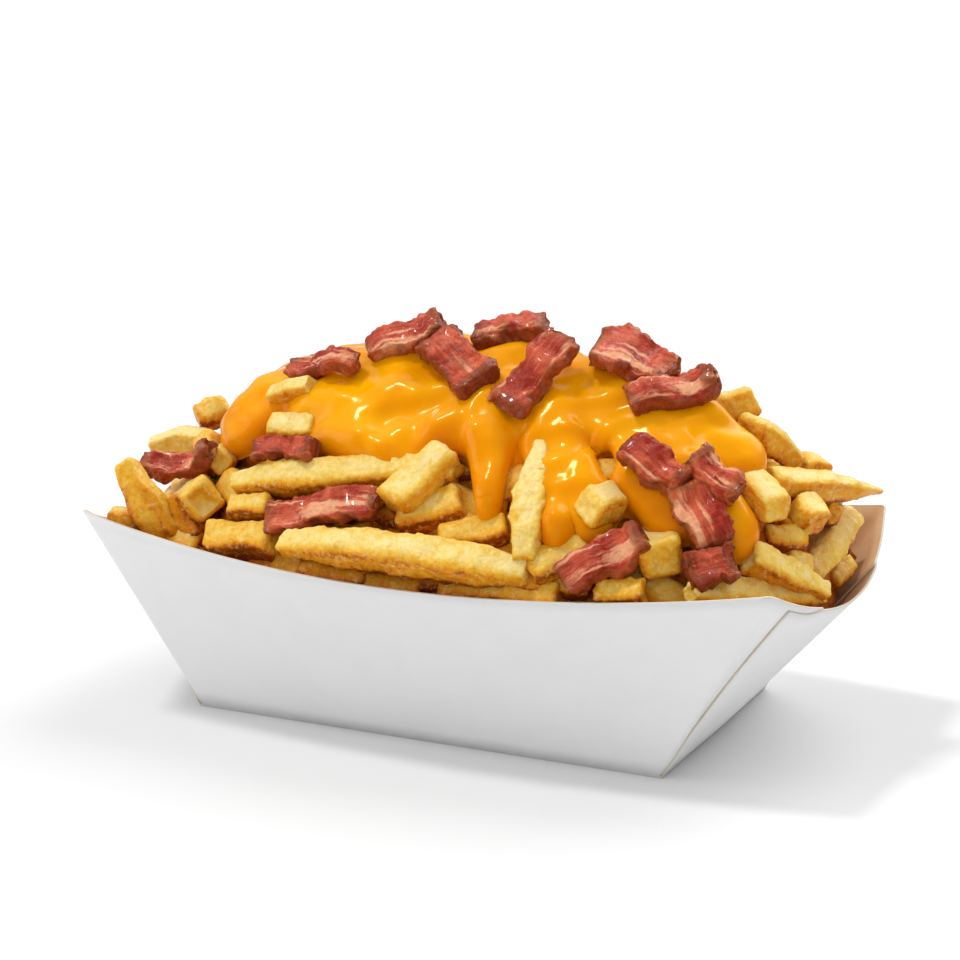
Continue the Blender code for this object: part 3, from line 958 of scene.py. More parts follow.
@dataclass(frozen=True)
class Mound:
    """Outer surface of the heap: a blunt mound that fills the tray.

    Attributes:
        middle_x: Where its middle lies along the tray.
        half_x: Half its length.
        half_y: Half its width.
        foot: Height at which it starts.
        rise: Height of its top over the foot.
        power_x: How blunt it is along the tray.
        power_y: How blunt it is across the tray.
        crown: How round its top is.
        wall_room: Room between the core and the tray's wall.
        core_side: Height up to which the core follows the wall.
        core_below: How far the core's top lies below the mound.
        core_top: Greatest height of the core near the middle.
        core_flat: Distance from the middle at which that height starts to fall.
        core_fall: How fast it falls from there, for each millimetre.
        core_bumps: Height of the core's bumps.
    """

    middle_x: float = 6.0
    half_x: float = 98.0
    half_y: float = 52.0
    foot: float = 43.0
    rise: float = 45.0
    power_x: float = 3.4
    power_y: float = 1.45
    crown: float = 1.1
    wall_room: float = 1.6
    core_side: float = 30.0
    core_below: float = 9.5
    core_top: float = 80.0
    core_flat: float = 50.0
    core_fall: float = 1.2
    core_bumps: float = 1.6

    def height(self, x: Array, y: Array) -> Array:
        """Height of the mound, which is the foot's height outside its outline.

        It is foot + rise (1 - |x / half_x|^power_x - |y / half_y|^power_y)^crown.

        Args:
            x: Places along the tray.
            y: Places across the tray.

        Returns:
            One height for each place.
        """
        fall = np.abs((x - self.middle_x) / self.half_x) ** self.power_x
        fall = fall + np.abs(y / self.half_y) ** self.power_y
        return self.foot + self.rise * np.clip(1 - fall, 0, None) ** self.crown

    def normal(self, x: Array, y: Array) -> Array:
        """Unit normals of the mound, from the height's differences over 2 mm.

        Args:
            x: Places along the tray.
            y: Places across the tray.

        Returns:
            One unit vector for each place.
        """
        dx = (self.height(x - 1, y) - self.height(x + 1, y)) / 2
        dy = (self.height(x, y - 1) - self.height(x, y + 1)) / 2
        return unit(np.stack([dx, dy, np.ones_like(dx)], -1))

    def depth(self, points: Array) -> Array:
        """How deep points lie in the heap: 0 down to 3 mm and 1 from 11 mm below its surface."""
        return smooth_step(3.0, 11.0, self.height(points[..., 0], points[..., 1]) - points[..., 2])

    def core(self, tray: Tray) -> Surface:
        """Closed body under the fries, with low bumps the size of fries.

        Its side follows the tray's wall a little inside it, and its top is the mound
        lowered, along rays from the middle out to the wall.

        Args:
            tray: Tray that holds the heap.

        Returns:
            Closed surface with fry_edge, fry_tone_and_shade and fry_gap_shade, browned and darkened all over
            as painted shade.
        """
        lows, highs = [], []
        for side in range(4):
            s = np.linspace(-0.93, 0.93, 61 if side % 2 == 0 else 35)
            low, high = tray.ruling(side, s)
            inward = tray.outward(side, s) * self.wall_room
            lows.append(low - inward)
            highs.append(low + (high - low) * (self.core_side / high[:, 2])[:, None] - inward)
        low, high = np.concatenate(lows), np.concatenate(highs)
        low[:, 2] = 1.0
        rows = [low * (part, part, 1) for part in (0.02, 0.5)] + [low]
        rows += [low + (high - low) * part for part in (0.35, 0.7, 1.0)]
        for part in np.linspace(0.97, 0.01, 44):
            ring = high * part
            far = np.clip(np.abs(ring[:, 0] - self.middle_x) - self.core_flat, 0, None)
            top = self.height(ring[:, 0], ring[:, 1]) - self.core_below
            top = np.minimum(top, self.core_top - self.core_fall * far)
            ring[:, 2] = top + self.core_bumps * ripple(ring, 11, 5)
            rows.append(ring)
        grid = np.array(rows)
        flat = np.zeros(grid[..., 0].size)
        # Painted shade: the core stands in for fries deep in shade, so it is brown and darkened all over.
        values = {"fry_edge": flat + 0.5, "fry_tone_and_shade": flat + 0.75, "fry_gap_shade": flat + 1}
        return Surface(grid.reshape(-1, 3), tube_quads(*grid.shape[:2]), end_fans(*grid.shape[:2]), values)


# A fry whose line is nearly the mound's normal, or tilted from it by less than this sine,
# turns its upper face to the front.
TOWARDS_FRONT = np.array([0.4, -0.9, 0.2])
LEAST_TILT = 0.35
# Shares of the end face's size at which it has loops, and angles of the rounding past it.
FACE_LOOPS = np.array([0.04, 0.34, 0.62, 0.84])
ROUND_LOOPS = np.radians([0, 22, 45, 68])


class Cut(Enum):
    """How a fry's end is finished."""

    SQUARE = "square"
    SLANT = "slant"
    TAPER = "taper"
    POINT = "point"


# How much a taper or point narrows an end, over how many thicknesses, and with what power.
NARROWING = {Cut.TAPER: (0.38, 1.1, 2), Cut.POINT: (0.8, 1.5, 1.5)}


@dataclass(frozen=True)
class Fry:
    """One fry: the middles of its ends, its thickness and how it is cut, bent and browned.

    Attributes:
        start: Middle of one end.
        end: Middle of the other.
        thick: Thickness.
        bend: How far its middle is bent up.
        sway: How far its middle is bent sideways.
        roll: Turn about its own line, in degrees.
        flat: Height of the section as a share of its width.
        cuts: How its two ends are cut.
        tone: How brown it is, from about 0 to 1.
        rough: How blistered it is.
        square: Power of the section's superellipse.
        shade: How much painted shade darkens it deep in the heap.
        dish: How hollow its ends are.
        seed: Seed of its random draws.
    """

    start: Point
    end: Point
    thick: float
    bend: float = 0.0
    sway: float = 0.0
    roll: float = 0.0
    flat: float = 1.0
    cuts: tuple[Cut, Cut] = (Cut.SQUARE, Cut.SQUARE)
    tone: float = 0.4
    rough: float = 1.0
    square: float = 4.6
    shade: float = 0.25
    dish: float = 0.3
    seed: int = 0

    def up(self) -> Array:
        """Direction that the fry's upper face looks in, turned by its roll.

        It is the mound's normal less its part along the fry, or the same of a direction
        towards the front where the fry stands on end.

        Returns:
            Unit vector square to the fry's line.
        """
        start, end = np.array(self.start, float), np.array(self.end, float)
        middle = (start + end) / 2
        along = unit(end - start)
        for want in (MOUND.normal(middle[0], middle[1]), TOWARDS_FRONT):
            across = want - along * (want @ along)
            if np.linalg.norm(across) > LEAST_TILT:
                across = unit(across)
                break
        side = np.cross(along, across)
        turn = math.radians(self.roll)
        return across * math.cos(turn) + side * math.sin(turn)

    def spine(self, t: Array) -> Array:
        """Points of the axis: a straight line bent by 4 t (1 - t) up and sideways.

        Args:
            t: Places along the fry, from 0 at its start to 1 at its end.

        Returns:
            One point for each place.
        """
        start, end = np.array(self.start, float), np.array(self.end, float)
        up = self.up()
        side = np.cross(unit(end - start), up)
        arch = (4 * t * (1 - t))[..., None]
        return start + (end - start) * t[..., None] + arch * (self.bend * up + self.sway * side)

    def surface(self, step: float, columns: int) -> Surface:
        """Skin of the fry.

        The section is the superellipse |x|^p + |y|^p = 1. Loops lie at s millimetres along
        the fry with a size k from 0 to 1. They shrink over each end along a quarter circle
        to a flat face, and a taper or point shrinks them by 1 - a exp(-(d / b)^c) at d
        thicknesses from the end. A cut slides the points near an end along the fry by a
        plane over the section, and a dish hollows its face. The skin is raised by smooth
        noise of 9, 3.6 and 1.9 mm and by blisters of 2.8 mm.

        Args:
            step: Distance between rings, in millimetres.
            columns: Number of points in a ring.

        Returns:
            Closed surface with fry_edge, fry_tone_and_shade with its painted shade, and a fry_gap_shade of 0.
        """
        length = float(np.linalg.norm(np.subtract(self.end, self.start)))
        half = self.thick / 2
        rng = np.random.default_rng(self.seed * 7 + 3)
        curve = min(0.34 * half, 0.2 * length)
        cap_s = np.concatenate([0 * FACE_LOOPS, curve * (1 - np.cos(ROUND_LOOPS))])
        rounding = 1 - (curve / half) * (1 - np.sin(ROUND_LOOPS))
        cap_k = np.concatenate([FACE_LOOPS * (1 - curve / half), rounding])
        rings = max(5, round((length - 2 * curve) / step))
        body = np.linspace(curve, length - curve, rings)
        s = np.concatenate([cap_s, body, (length - cap_s)[::-1]])
        k = np.concatenate([cap_k, np.ones(rings), cap_k[::-1]])
        t = s / length
        for which, cut in enumerate(self.cuts):
            near = (s if which == 0 else length - s) / self.thick
            if cut in NARROWING:
                most, over, power = NARROWING[cut]
                k = k * (1 - most * np.exp(-((near / over) ** power)))
        cx, cy = superellipse(columns, 2 / self.square, 2 / self.square)
        up = self.up()
        spine = self.spine(t)
        apart = np.clip(t, 0, 1) * 0.999 + np.linspace(0, 1e-3, len(t))
        along = unit(np.gradient(self.spine(apart), axis=0))
        side = unit(np.cross(up, along))
        rise = np.cross(along, side)
        wave = 1 + 0.06 * np.sin(2 * np.pi * (t * rng.uniform(0.6, 1.4) + rng.uniform()))
        wide, high = half * k * wave, half * self.flat * k * (2 - wave)
        right, over = np.outer(wide, cx), np.outer(high, cy)
        grid = spine[:, None] + side[:, None] * right[..., None] + rise[:, None] * over[..., None]
        for which, cut in enumerate(self.cuts):
            if cut is Cut.SLANT:
                lean = np.array([0.55, 0.2]) * rng.choice([-1, 1], 2)
            else:
                lean = rng.uniform(-0.18, 0.18, 2)
            near = (s if which == 0 else length - s) / self.thick
            weight = np.exp(-((near / 0.9) ** 2))[:, None]
            slide = (right * lean[0] + over * lean[1]) * weight
            hollow = self.dish * np.clip(1 - (k / (1 - curve / half)) ** 2, 0, 1) * (near < 0.01)
            slide = slide + (hollow if which == 0 else -hollow)[:, None]
            grid = grid + along[:, None] * slide[..., None]
        normal = tube_normals(grid)
        skin = 0.32 * ripple(grid, 9.0, self.seed + 1) + 0.16 * ripple(grid, 3.6, self.seed + 2)
        blister = np.clip(ripple(grid, 2.8, self.seed + 3, 20) - 0.25, 0, None)
        skin = skin + self.rough * (0.4 * blister + 0.09 * ripple(grid, 1.9, self.seed + 4, 20))
        fade = smooth_step(0.0, 0.5, k)[:, None]
        grid = grid + normal * (skin * fade)[..., None]
        corner = smooth_step(0.35, 0.95, np.abs(cx * cy) / np.abs(cx * cy).max())
        ends = np.exp(-((np.minimum(s, length - s) / (0.22 * self.thick)) ** 2)) * smooth_step(0.6, 0.95, k)
        edge = np.maximum(np.outer(smooth_step(0.55, 0.95, k), corner), ends[:, None])
        # Painted shade: fry_tone_and_shade is browner deep in the heap and on faces that turn down, and paler
        # on faces that turn up, added to the fry's own tone.
        underside_shade = 0.5 - 0.5 * normal[..., 2]
        tone = (self.tone + self.shade * MOUND.depth(grid) + 1.5 * (underside_shade - 0.3)).ravel()
        values = {"fry_edge": edge.ravel(), "fry_tone_and_shade": tone, "fry_gap_shade": 0 * tone}
        shape = grid.shape[:2]
        return Surface(grid.reshape(-1, 3), tube_quads(*shape), end_fans(*shape), values)


MOUND = Mound()
SQ, SL, TA, PO = Cut.SQUARE, Cut.SLANT, Cut.TAPER, Cut.POINT

SHOWN_FRIES = (
    Fry(
        (-30.3, -47.0, 48.1), (32.3, -46.6, 48.1), 8.6,
        bend=1.6, roll=-6, flat=0.95, cuts=(TA, TA), tone=0.1, seed=1,
    ),
    Fry((-79.1, -38, 60.7), (-67.3, -36, 41.1), 8.9, sway=2.0, cuts=(TA, SQ), tone=0.5, rough=0.6, seed=2),
    Fry((-89.1, -10.0, 57.0), (-75.5, -6.0, 58.5), 8.6, bend=1.0, cuts=(TA, SQ), tone=-0.2, seed=3),
    Fry((-80.7, -2.0, 64.0), (-74.7, 4.0, 66.2), 7.0, tone=0.35, seed=4),
    Fry((-70.4, -14.0, 62.5), (-64.0, -22.0, 57.7), 6.4, tone=0.4, seed=5),
    Fry((-59.9, -26.0, 60.1), (-66.7, -10.0, 58.4), 6.2, tone=0.1, seed=6),
    Fry((-68.2, -33.0, 51.2), (-61.0, -36.0, 42.6), 7.0, tone=0.8, seed=7),
    Fry((-57.8, -38.0, 53.2), (-76.3, -12.0, 49.0), 8.8, roll=14, dish=2.2, tone=0.15, square=7, seed=8),
    Fry((-50.2, -36.0, 57.8), (6.0, -28.0, 64.8), 8.2, bend=0.8, cuts=(TA, SQ), tone=0.15, seed=9),
    Fry((-49.7, -39.0, 52.8), (-37.9, -39.0, 53.9), 5.4, tone=0.3, seed=10),
    Fry((-54.0, -42.0, 44.6), (-34.7, -43.0, 47.1), 8.0, tone=0.5, seed=11),
    Fry((-5, -40, 58), (4, -28, 69), 9.0, cuts=(SQ, SQ), tone=0.0, square=5, seed=12),
    Fry((-4, -37, 54), (10, -33, 59), 8.6, tone=0.35, seed=13),
    Fry((7, -40, 51), (23, -37, 55), 6.9, tone=0.45, seed=14),
    Fry((25.3, -22, 75), (31.5, -46.6, 50.5), 9.8, bend=1.0, cuts=(PO, TA), tone=0.05, rough=1.9, seed=15),
    Fry((32, -45, 47), (43, -37, 53), 8.2, tone=0.4, rough=1.6, seed=16),
    Fry((9.7, -44.8, 41.2), (39.7, -44.8, 42.6), 6.6, tone=0.5, seed=17),
    Fry((43.8, -40.0, 63.1), (47.1, -31.0, 62.8), 7.8, tone=0.0, square=6, seed=18),
    Fry((62, -40, 53), (50, -18, 54), 9.5, tone=0.2, square=6, seed=19),
    Fry((69.5, -42.0, 46.8), (88.9, -7.0, 38.4), 7.0, bend=0.5, cuts=(TA, TA), tone=0.15, shade=0, seed=20),
    Fry((48.5, -44.5, 44.5), (59, -43, 46), 6.0, tone=0.5, rough=2.0, seed=21),
    Fry((77.6, -27.0, 52.4), (90.2, -9.0, 40.8), 7.0, cuts=(SQ, TA), tone=0.05, shade=0, seed=22),
    Fry((84.1, -3.0, 42.5), (87.2, 18, 52.4), 9.8, cuts=(TA, TA), tone=0.05, rough=1.4, shade=0, seed=23),
    Fry((84.2, 14, 36), (85.4, 24, 39), 4.6, tone=0.15, shade=0, seed=24),
    Fry((76.0, -9.0, 65.5), (94.5, 19.5, 58.8), 6.3, cuts=(SQ, PO), tone=0.25, seed=25),
    Fry((71.4, -12.0, 66.9), (81.8, -20.0, 61.9), 6.9, tone=0.05, square=6, seed=26),
    Fry((76.8, -14.0, 53.1), (84.9, -8.0, 52.3), 6.4, tone=0.3, seed=27),
    Fry((81.7, -4.0, 60.0), (87.4, -8.0, 56.4), 7.4, tone=0.15, shade=0, seed=28),
    Fry((83.9, 8.0, 56.2), (86.5, 11.0, 54.1), 6.4, tone=0.3, shade=0, seed=29),
    Fry((68.2, -2.0, 74.6), (76.3, 8.0, 66.1), 8.0, bend=1.5, cuts=(SL, TA), tone=0.2, seed=30),
    Fry((77.1, 10.0, 64.7), (80.5, 15.0, 63.2), 7.2, tone=0.35, seed=31),
    Fry((52, 0, 79), (66, 9, 80.5), 7.7, bend=-1.5, tone=0.2, seed=32),
    Fry((-46.0, -24.0, 69.0), (-34.4, -23.0, 69.7), 7.2, tone=0.05, square=6, seed=33),
    Fry((-50, -16.5, 75.8), (-37.5, -19, 80), 7.7, cuts=(TA, TA), tone=0.1, seed=34),
    Fry((-27.2, -45.0, 41.1), (-8.2, -45.0, 40.6), 6.6, tone=0.9, seed=35),
    Fry((-13.4, -45.0, 39.2), (5.3, -45.0, 40.1), 6.6, tone=0.7, seed=36),
    Fry((-84.6, -36.0, 45.2), (-75, -38.4, 46.8), 5.2, tone=0.4, seed=37),
    Fry((-77, -36, 45), (-59, -38, 41), 6.9, tone=0.5, seed=38),
    Fry((81.3, -14.0, 48.4), (85.8, -10.0, 45.0), 6.6, tone=0.2, shade=0, seed=39),
)


@dataclass
class FryPile:
    """All the fries: those laid out one by one, and others strewn over the heap.

    A strewn fry doesn't come between the camera and the line of a fry or a piece of
    bacon that is laid out.

    Attributes:
        tray: Tray that holds them.
        seed: Seed of the random draws.
        tries: Number of fries drawn for each layer.
        layers: Depth, overlap that is let pass, and most fries, for each layer.
        buried_depth: How much lower the fries under the sauce lie.
        covered_margin: Distance outside the sauce's outline that counts as under it.
        near: Distance between middles past which two fries can't touch.
        wall_room: Thickness added to a fry when it is tested against the walls.
        shortest: Least length, before the random share.
        longer: Length added to the first ones drawn.
        thinnest: Least thickness.
        thickest: Greatest thickness.
        corner: Lowest x and y of the middles, and the highest.
        turn: Spread of the turns from lengthways, in radians.
        loose: Greatest random depth added.
    """

    tray: Tray
    seed: int = 11
    tries: int = 4000
    layers: tuple[tuple[float, float, int], ...] = ((0.0, 2.6, 26), (3.6, 4.6, 40), (7.5, 6.5, 60))
    buried_depth: float = 2.2
    covered_margin: float = 2.0
    near: float = 60.0
    wall_room: float = 1.6
    shortest: float = 14.0
    longer: float = 44.0
    thinnest: float = 7.6
    thickest: float = 9.8
    corner: tuple[tuple[float, float], tuple[float, float]] = ((-88, -47), (90, 47))
    turn: float = 0.6
    loose: float = 1.5

    def strewn(self, covered: "Sauce") -> tuple[list[Fry], list[Fry]]:
        """Draw fries at random, mostly lengthways, and keep each that clears those before it.

        Args:
            covered: Sauce, under which a second set of fries lies deeper.

        Returns:
            Fries on the open heap, and fries under the sauce.
        """
        rng = np.random.default_rng(self.seed)
        t = np.linspace(0, 1, 9)
        taken = np.array([fry.spine(t) for fry in SHOWN_FRIES] + [piece.line(t) for piece in BACON])
        width = np.array([fry.thick for fry in SHOWN_FRIES] + [0.8 * piece.wide for piece in BACON])
        wall = Surface.joined(self.tray.walls()).tree()
        marks = taken.reshape(-1, 3)
        sight = unit(np.array(STUDIO.eye()) / MM - marks)
        found: tuple[list[Fry], list[Fry]] = ([], [])
        for depth, overlap, most in self.layers:
            count = [0, 0]
            starts, ends, thick, middles = self.random_places(rng, depth)
            under = (covered.distance(middles) < self.covered_margin).astype(int)
            lower = np.outer(under, (0, 0, self.buried_depth))
            starts, ends = starts - lower, ends - lower
            inside = self.tray.holds(starts, thick) & self.tray.holds(ends, thick)
            lines = starts[:, None] + (ends - starts)[:, None] * t[:, None]
            for i in np.flatnonzero(inside):
                if count[under[i]] >= most:
                    continue
                near = np.linalg.norm(taken[:, 4] - lines[i, 4], axis=1) < self.near
                apart = np.linalg.norm(taken[near][:, :, None] - lines[i], axis=3).min((1, 2))
                if (apart < (thick[i] + width[near]) / 2 - overlap).any():
                    continue
                nearer = lines[i] - marks[:, None]
                along = (nearer * sight[:, None]).sum(-1)
                aside = np.linalg.norm(nearer - along[..., None] * sight[:, None], axis=-1)
                if ((along > 0) & (aside < thick[i] / 2)).any():
                    continue
                fry = self.random_fry(rng, starts[i], ends[i], float(thick[i]))
                wider = replace(fry, thick=fry.thick + self.wall_room).surface(step=6, columns=12)
                if BVHTree.overlap(wider.tree(), wall):
                    continue
                taken = np.concatenate([taken, fry.spine(t)[None]])
                width = np.append(width, fry.thick)
                found[under[i]].append(fry)
                count[under[i]] += 1
        return found

    def random_places(self, rng: np.random.Generator, depth: float) -> tuple[Array, Array, Array, Array]:
        """Ends, thicknesses and middles of fries laid on the mound at random, longer ones first.

        Args:
            rng: Source of the draws.
            depth: How far below the mound their upper faces lie.

        Returns:
            Starts, ends, thicknesses, and middles seen from above.
        """
        early = np.linspace(1, 0, self.tries)
        length = self.shortest + self.longer * early * rng.uniform(0.6, 1, self.tries)
        thick = rng.uniform(self.thinnest, self.thickest, self.tries)
        middles = rng.uniform(*self.corner, (self.tries, 2))
        turn = rng.normal(0, self.turn, self.tries)
        reach = np.stack([np.cos(turn), np.sin(turn)], -1) * length[:, None] / 2
        sunk = thick / 2 + depth + rng.uniform(0, self.loose, self.tries)
        starts, ends = middles - reach, middles + reach
        starts = np.column_stack([starts, MOUND.height(starts[:, 0], starts[:, 1]) - sunk])
        ends = np.column_stack([ends, MOUND.height(ends[:, 0], ends[:, 1]) - sunk])
        return starts, ends, thick, middles

    @staticmethod
    def random_fry(rng: np.random.Generator, start: Array, end: Array, thick: float) -> Fry:
        """Fry between these ends with a random bend, roll, cut and tone.

        Args:
            rng: Source of the draws.
            start: Middle of one end.
            end: Middle of the other.
            thick: Thickness.

        Returns:
            The fry, with more painted shade where it lies deep.
        """
        length = float(np.linalg.norm(end - start))
        return Fry(
            tuple(start),
            tuple(end),
            thick,
            bend=rng.uniform(-1.5, 2.5) * length / 50,
            sway=rng.normal(0, 1.2) * length / 50,
            roll=rng.normal(0, 16),
            shade=1.1,
            cuts=tuple(rng.choice([SQ, SL, TA], 2, p=[0.55, 0.2, 0.25])),
            tone=float(np.clip(rng.normal(0.35, 0.18), 0, 0.8)),
            seed=int(rng.integers(40, 4000)),
        )


@dataclass(frozen=True)
class Canopy:
    """Height of whatever lies highest over each place, blurred, to tell tops from gaps for painted shade.

    Attributes:
        heights: Heights in the cells of a square grid.
        step: Size of a cell.
        reach: Half the size of the grid.
        top: Depth down to which a place counts as a top.
        bottom: Depth from which a place counts as the bottom of a gap.
    """

    heights: Array
    step: float = 1.0
    reach: float = 110.0
    top: float = 1.5
    bottom: float = 13.0

    @staticmethod
    def over(points: Array, step: float = 1.0, reach: float = 110.0) -> "Canopy":
        """Canopy of these points: the highest in each cell of a grid, spread and blurred.

        Args:
            points: Points of all the fries.
            step: Size of a cell.
            reach: Half the size of the grid.

        Returns:
            The canopy, 20 mm high where no point lies.
        """
        count = int(2 * reach / step)
        cell = np.clip(((points[:, :2] + reach) / step).astype(int), 0, count - 1)
        heights = np.full((count, count), 20.0)
        np.maximum.at(heights, (cell[:, 0], cell[:, 1]), points[:, 2])
        near = [np.roll(heights, move, (0, 1)) for move in ((0, 0), (1, 0), (-1, 0), (0, 1), (0, -1))]
        return Canopy(blurred(np.max(near, axis=0), 2.6 / step), step, reach)

    def gap(self, points: Array) -> Array:
        """How deep points lie in the gaps: 0 near the tops and 1 at the bottoms.

        Args:
            points: Points of a surface.

        Returns:
            One number from 0 to 1 for each point.
        """
        place = (points[:, :2] + self.reach) / self.step - 0.5
        below = sampled(self.heights, place[:, 0], place[:, 1]) - points[:, 2]
        return smooth_step(self.top, self.bottom, below)


# Sauce


@dataclass(frozen=True)
class Stroke:
    """Patch of sauce seen from above: a bar from a to b with round ends of radius ra and rb.

    The sauce is thicker there by extra.
    """

    a: tuple[float, float]
    b: tuple[float, float]
    ra: float
    rb: float
    extra: float = 0.0

    def distance(self, points: Array) -> Array:
        """Distance to the bar, less than 0 inside it.

        It is |p - a - t (b - a)| less the radius at t, which is the nearest place on the line.

        Args:
            points: Places seen from above.

        Returns:
            One distance for each place.
        """
        a, b = np.array(self.a), np.array(self.b)
        t = np.clip(((points - a) @ (b - a)) / max((b - a) @ (b - a), TINY), 0, 1)
        radius = self.ra + (self.rb - self.ra) * t
        return np.linalg.norm(points - a - t[..., None] * (b - a), axis=-1) - radius


@dataclass(frozen=True)
class Sauce:
    """Cheese sauce: strokes run together, laid over the fries as a thick rounded sheet.

    Attributes:
        strokes: Patches that it is poured in.
        holes: Patches that stay open.
        step: Distance between the grid's points.
        thick: Thickness away from the edge.
        edge: Width of the rounded lip.
        blend: How softly the strokes run together.
        sag: How far it may sink below the mound between fries.
        bridge: How far it spans out from the top of a fry.
        soften: How softly it follows what lies under it.
        undercut: Angle at which the lip starts, turned in under the edge.
        bedded: How deep its top is let into the ground.
        lumps: Height, size and seed of each of the smooth noises that its top swells by.
        x_range: Ends of the grid along the tray.
        y_range: Ends of the grid across the tray.
    """

    strokes: tuple[Stroke, ...]
    holes: tuple[Stroke, ...]
    step: float = 0.65
    thick: float = 5.8
    edge: float = 4.0
    blend: float = 2.5
    sag: float = 3.2
    bridge: float = 1.5
    soften: float = 1.9
    undercut: float = -0.8
    bedded: float = 1.2
    lumps: tuple[tuple[float, float, int], ...] = ((1.2, 19, 71), (0.6, 10, 72), (0.2, 5.5, 73))
    x_range: tuple[float, float] = (-80, 92)
    y_range: tuple[float, float] = (-50, 46)

    def distance(self, points: Array) -> Array:
        """Distance to the outline, less than 0 inside it: a smooth least of the strokes'.

        It is -k log(sum(exp(-d / k))), and the greater of that and the holes' turned about.

        Args:
            points: Places seen from above.

        Returns:
            One distance for each place.
        """
        each = np.stack([stroke.distance(points) for stroke in self.strokes])
        low = each.min(0)
        near = low - self.blend * np.log(np.exp(-(each - low) / self.blend).sum(0))
        for hole in self.holes:
            near = np.maximum(near, -hole.distance(points))
        return near

    def slope(self, points: Array) -> Array:
        """Direction in which the distance grows fastest, from its growth over 0.05 mm.

        Args:
            points: Places seen from above.

        Returns:
            One unit vector for each place.
        """
        d = self.distance(points)
        grown = [(self.distance(points + step) - d) for step in ((0.05, 0.0), (0.0, 0.05))]
        return unit(np.stack(grown, -1))

    def swell(self, points: Array) -> Array:
        """Extra thickness of the strokes that carry a bead or a thick lip.

        Args:
            points: Places seen from above.

        Returns:
            One thickness for each place, the greatest that any stroke gives.
        """
        extra = np.zeros(points.shape[:-1])
        for stroke in self.strokes:
            if stroke.extra:
                inside = smooth_step(0.0, -stroke.rb, stroke.distance(points))
                extra = np.maximum(extra, stroke.extra * inside)
        return extra

    def ground(self, support: BVHTree, x: Array, y: Array) -> Array:
        """Height of what lies under the sauce, widened and blurred so that gaps are bridged.

        It is looked up with one ray straight down at each place, never less than the mound
        lowered by sag. Each place then takes the highest within bridge of it.

        Args:
            support: Search tree of what carries the sauce.
            x: Places along the tray.
            y: Places across the tray.

        Returns:
            One height for each place.
        """
        down, missed = (0.0, 0.0, -1.0), Vector((0, 0, 30.0))
        hits = [support.ray_cast((a, b, 200.0), down)[0] or missed for a, b in zip(x.ravel(), y.ravel())]
        flat = np.array([hit[2] for hit in hits]).reshape(x.shape)
        flat = np.maximum(flat, MOUND.height(x, y) - self.sag)
        reach = max(1, round(self.bridge / self.step))
        wide = flat.copy()
        for dx in range(-reach, reach + 1):
            for dy in range(-reach, reach + 1):
                if dx * dx + dy * dy <= reach * reach:
                    wide = np.maximum(wide, np.roll(flat, (dx, dy), (0, 1)))
        return blurred(wide, self.soften / self.step)

    def surface(self, support: BVHTree) -> Surface:
        """Lay the sheet and close it underneath.

        Points on the edge of the grid's cells are moved onto the outline. At d inside it the
        lip turns through an angle a from the undercut u to pi / 2 as d goes from 0 to edge:
        the top stands thick * (sin a - sin u) / (1 - sin u) off the ground, along its normal,
        and is pushed outwards until it is edge * (1 - cos a) inside the outline.

        Args:
            support: Search tree of the fries and core that carry the sauce.

        Returns:
            Closed surface with sauce_steep_shade, the painted shade of its steep faces.
        """
        xs, ys = np.arange(*self.x_range, self.step), np.arange(*self.y_range, self.step)
        x, y = np.meshgrid(xs, ys, indexing="ij")
        ground = self.ground(support, x, y)
        flat = np.stack([x, y], -1)
        keep = self.distance(flat) < 0.4 * self.step
        cells = keep[:-1, :-1] & keep[1:, :-1] & keep[:-1, 1:] & keep[1:, 1:]
        around = np.pad(cells, 1)
        around = np.stack([around[:-1, :-1], around[1:, :-1], around[:-1, 1:], around[1:, 1:]])
        rim = around.any(0) & ~around.all(0)
        for _ in range(4):
            away = self.distance(flat)
            flat = np.where(rim[..., None], flat - self.slope(flat) * away[..., None], flat)
        away = np.where(rim, 0.0, np.minimum(self.distance(flat), 0))
        ground = sampled(ground, (flat[..., 0] - xs[0]) / self.step, (flat[..., 1] - ys[0]) / self.step)
        dzdx, dzdy = np.gradient(blurred(ground, 3.0 / self.step), self.step)
        normal = unit(np.stack([-dzdx, -dzdy, np.ones_like(dzdx)], -1))
        out = np.concatenate([self.slope(flat), np.zeros((*x.shape, 1))], -1)
        out = unit(out - normal * (out * normal).sum(-1, keepdims=True))
        inside = np.clip(-away / self.edge, 0, 1)
        low = self.undercut
        angle = low + (math.pi / 2 - low) * inside
        lip = self.edge * (inside - 1 + np.cos(angle))
        profile = (np.sin(angle) - math.sin(low)) / (1 - math.sin(low))
        place = np.stack([flat[..., 0], flat[..., 1], ground], -1)
        lumps = sum(high * ripple(place, size, seed) for high, size, seed in self.lumps)
        thick = self.thick + self.swell(flat) + lumps * smooth_step(0.3, 1.0, inside)
        top = place + normal * (thick * profile - self.bedded)[..., None] + out * lip[..., None]
        under = place - normal * (1.4 + 1.0 * profile[..., None])
        index = np.arange(x.size).reshape(x.shape)
        quads = np.stack([index[:-1, :-1], index[1:, :-1], index[1:, 1:], index[:-1, 1:]], -1)[cells]
        lower = quads[:, ::-1] + x.size
        edges = np.concatenate([quads[:, [i, (i + 1) % 4]] for i in range(4)])
        key = np.sort(edges, 1) @ np.array([x.size, 1])
        _, first, count = np.unique(key, return_index=True, return_counts=True)
        open_edges = edges[first[count == 1]]
        near, far = open_edges[:, 0], open_edges[:, 1]
        wall = np.stack([far, near, near + x.size, far + x.size], -1)
        faces = np.concatenate([quads, lower, wall])
        used, compact = np.unique(faces, return_inverse=True)
        points = np.concatenate([top.reshape(-1, 3), under.reshape(-1, 3)])[used]
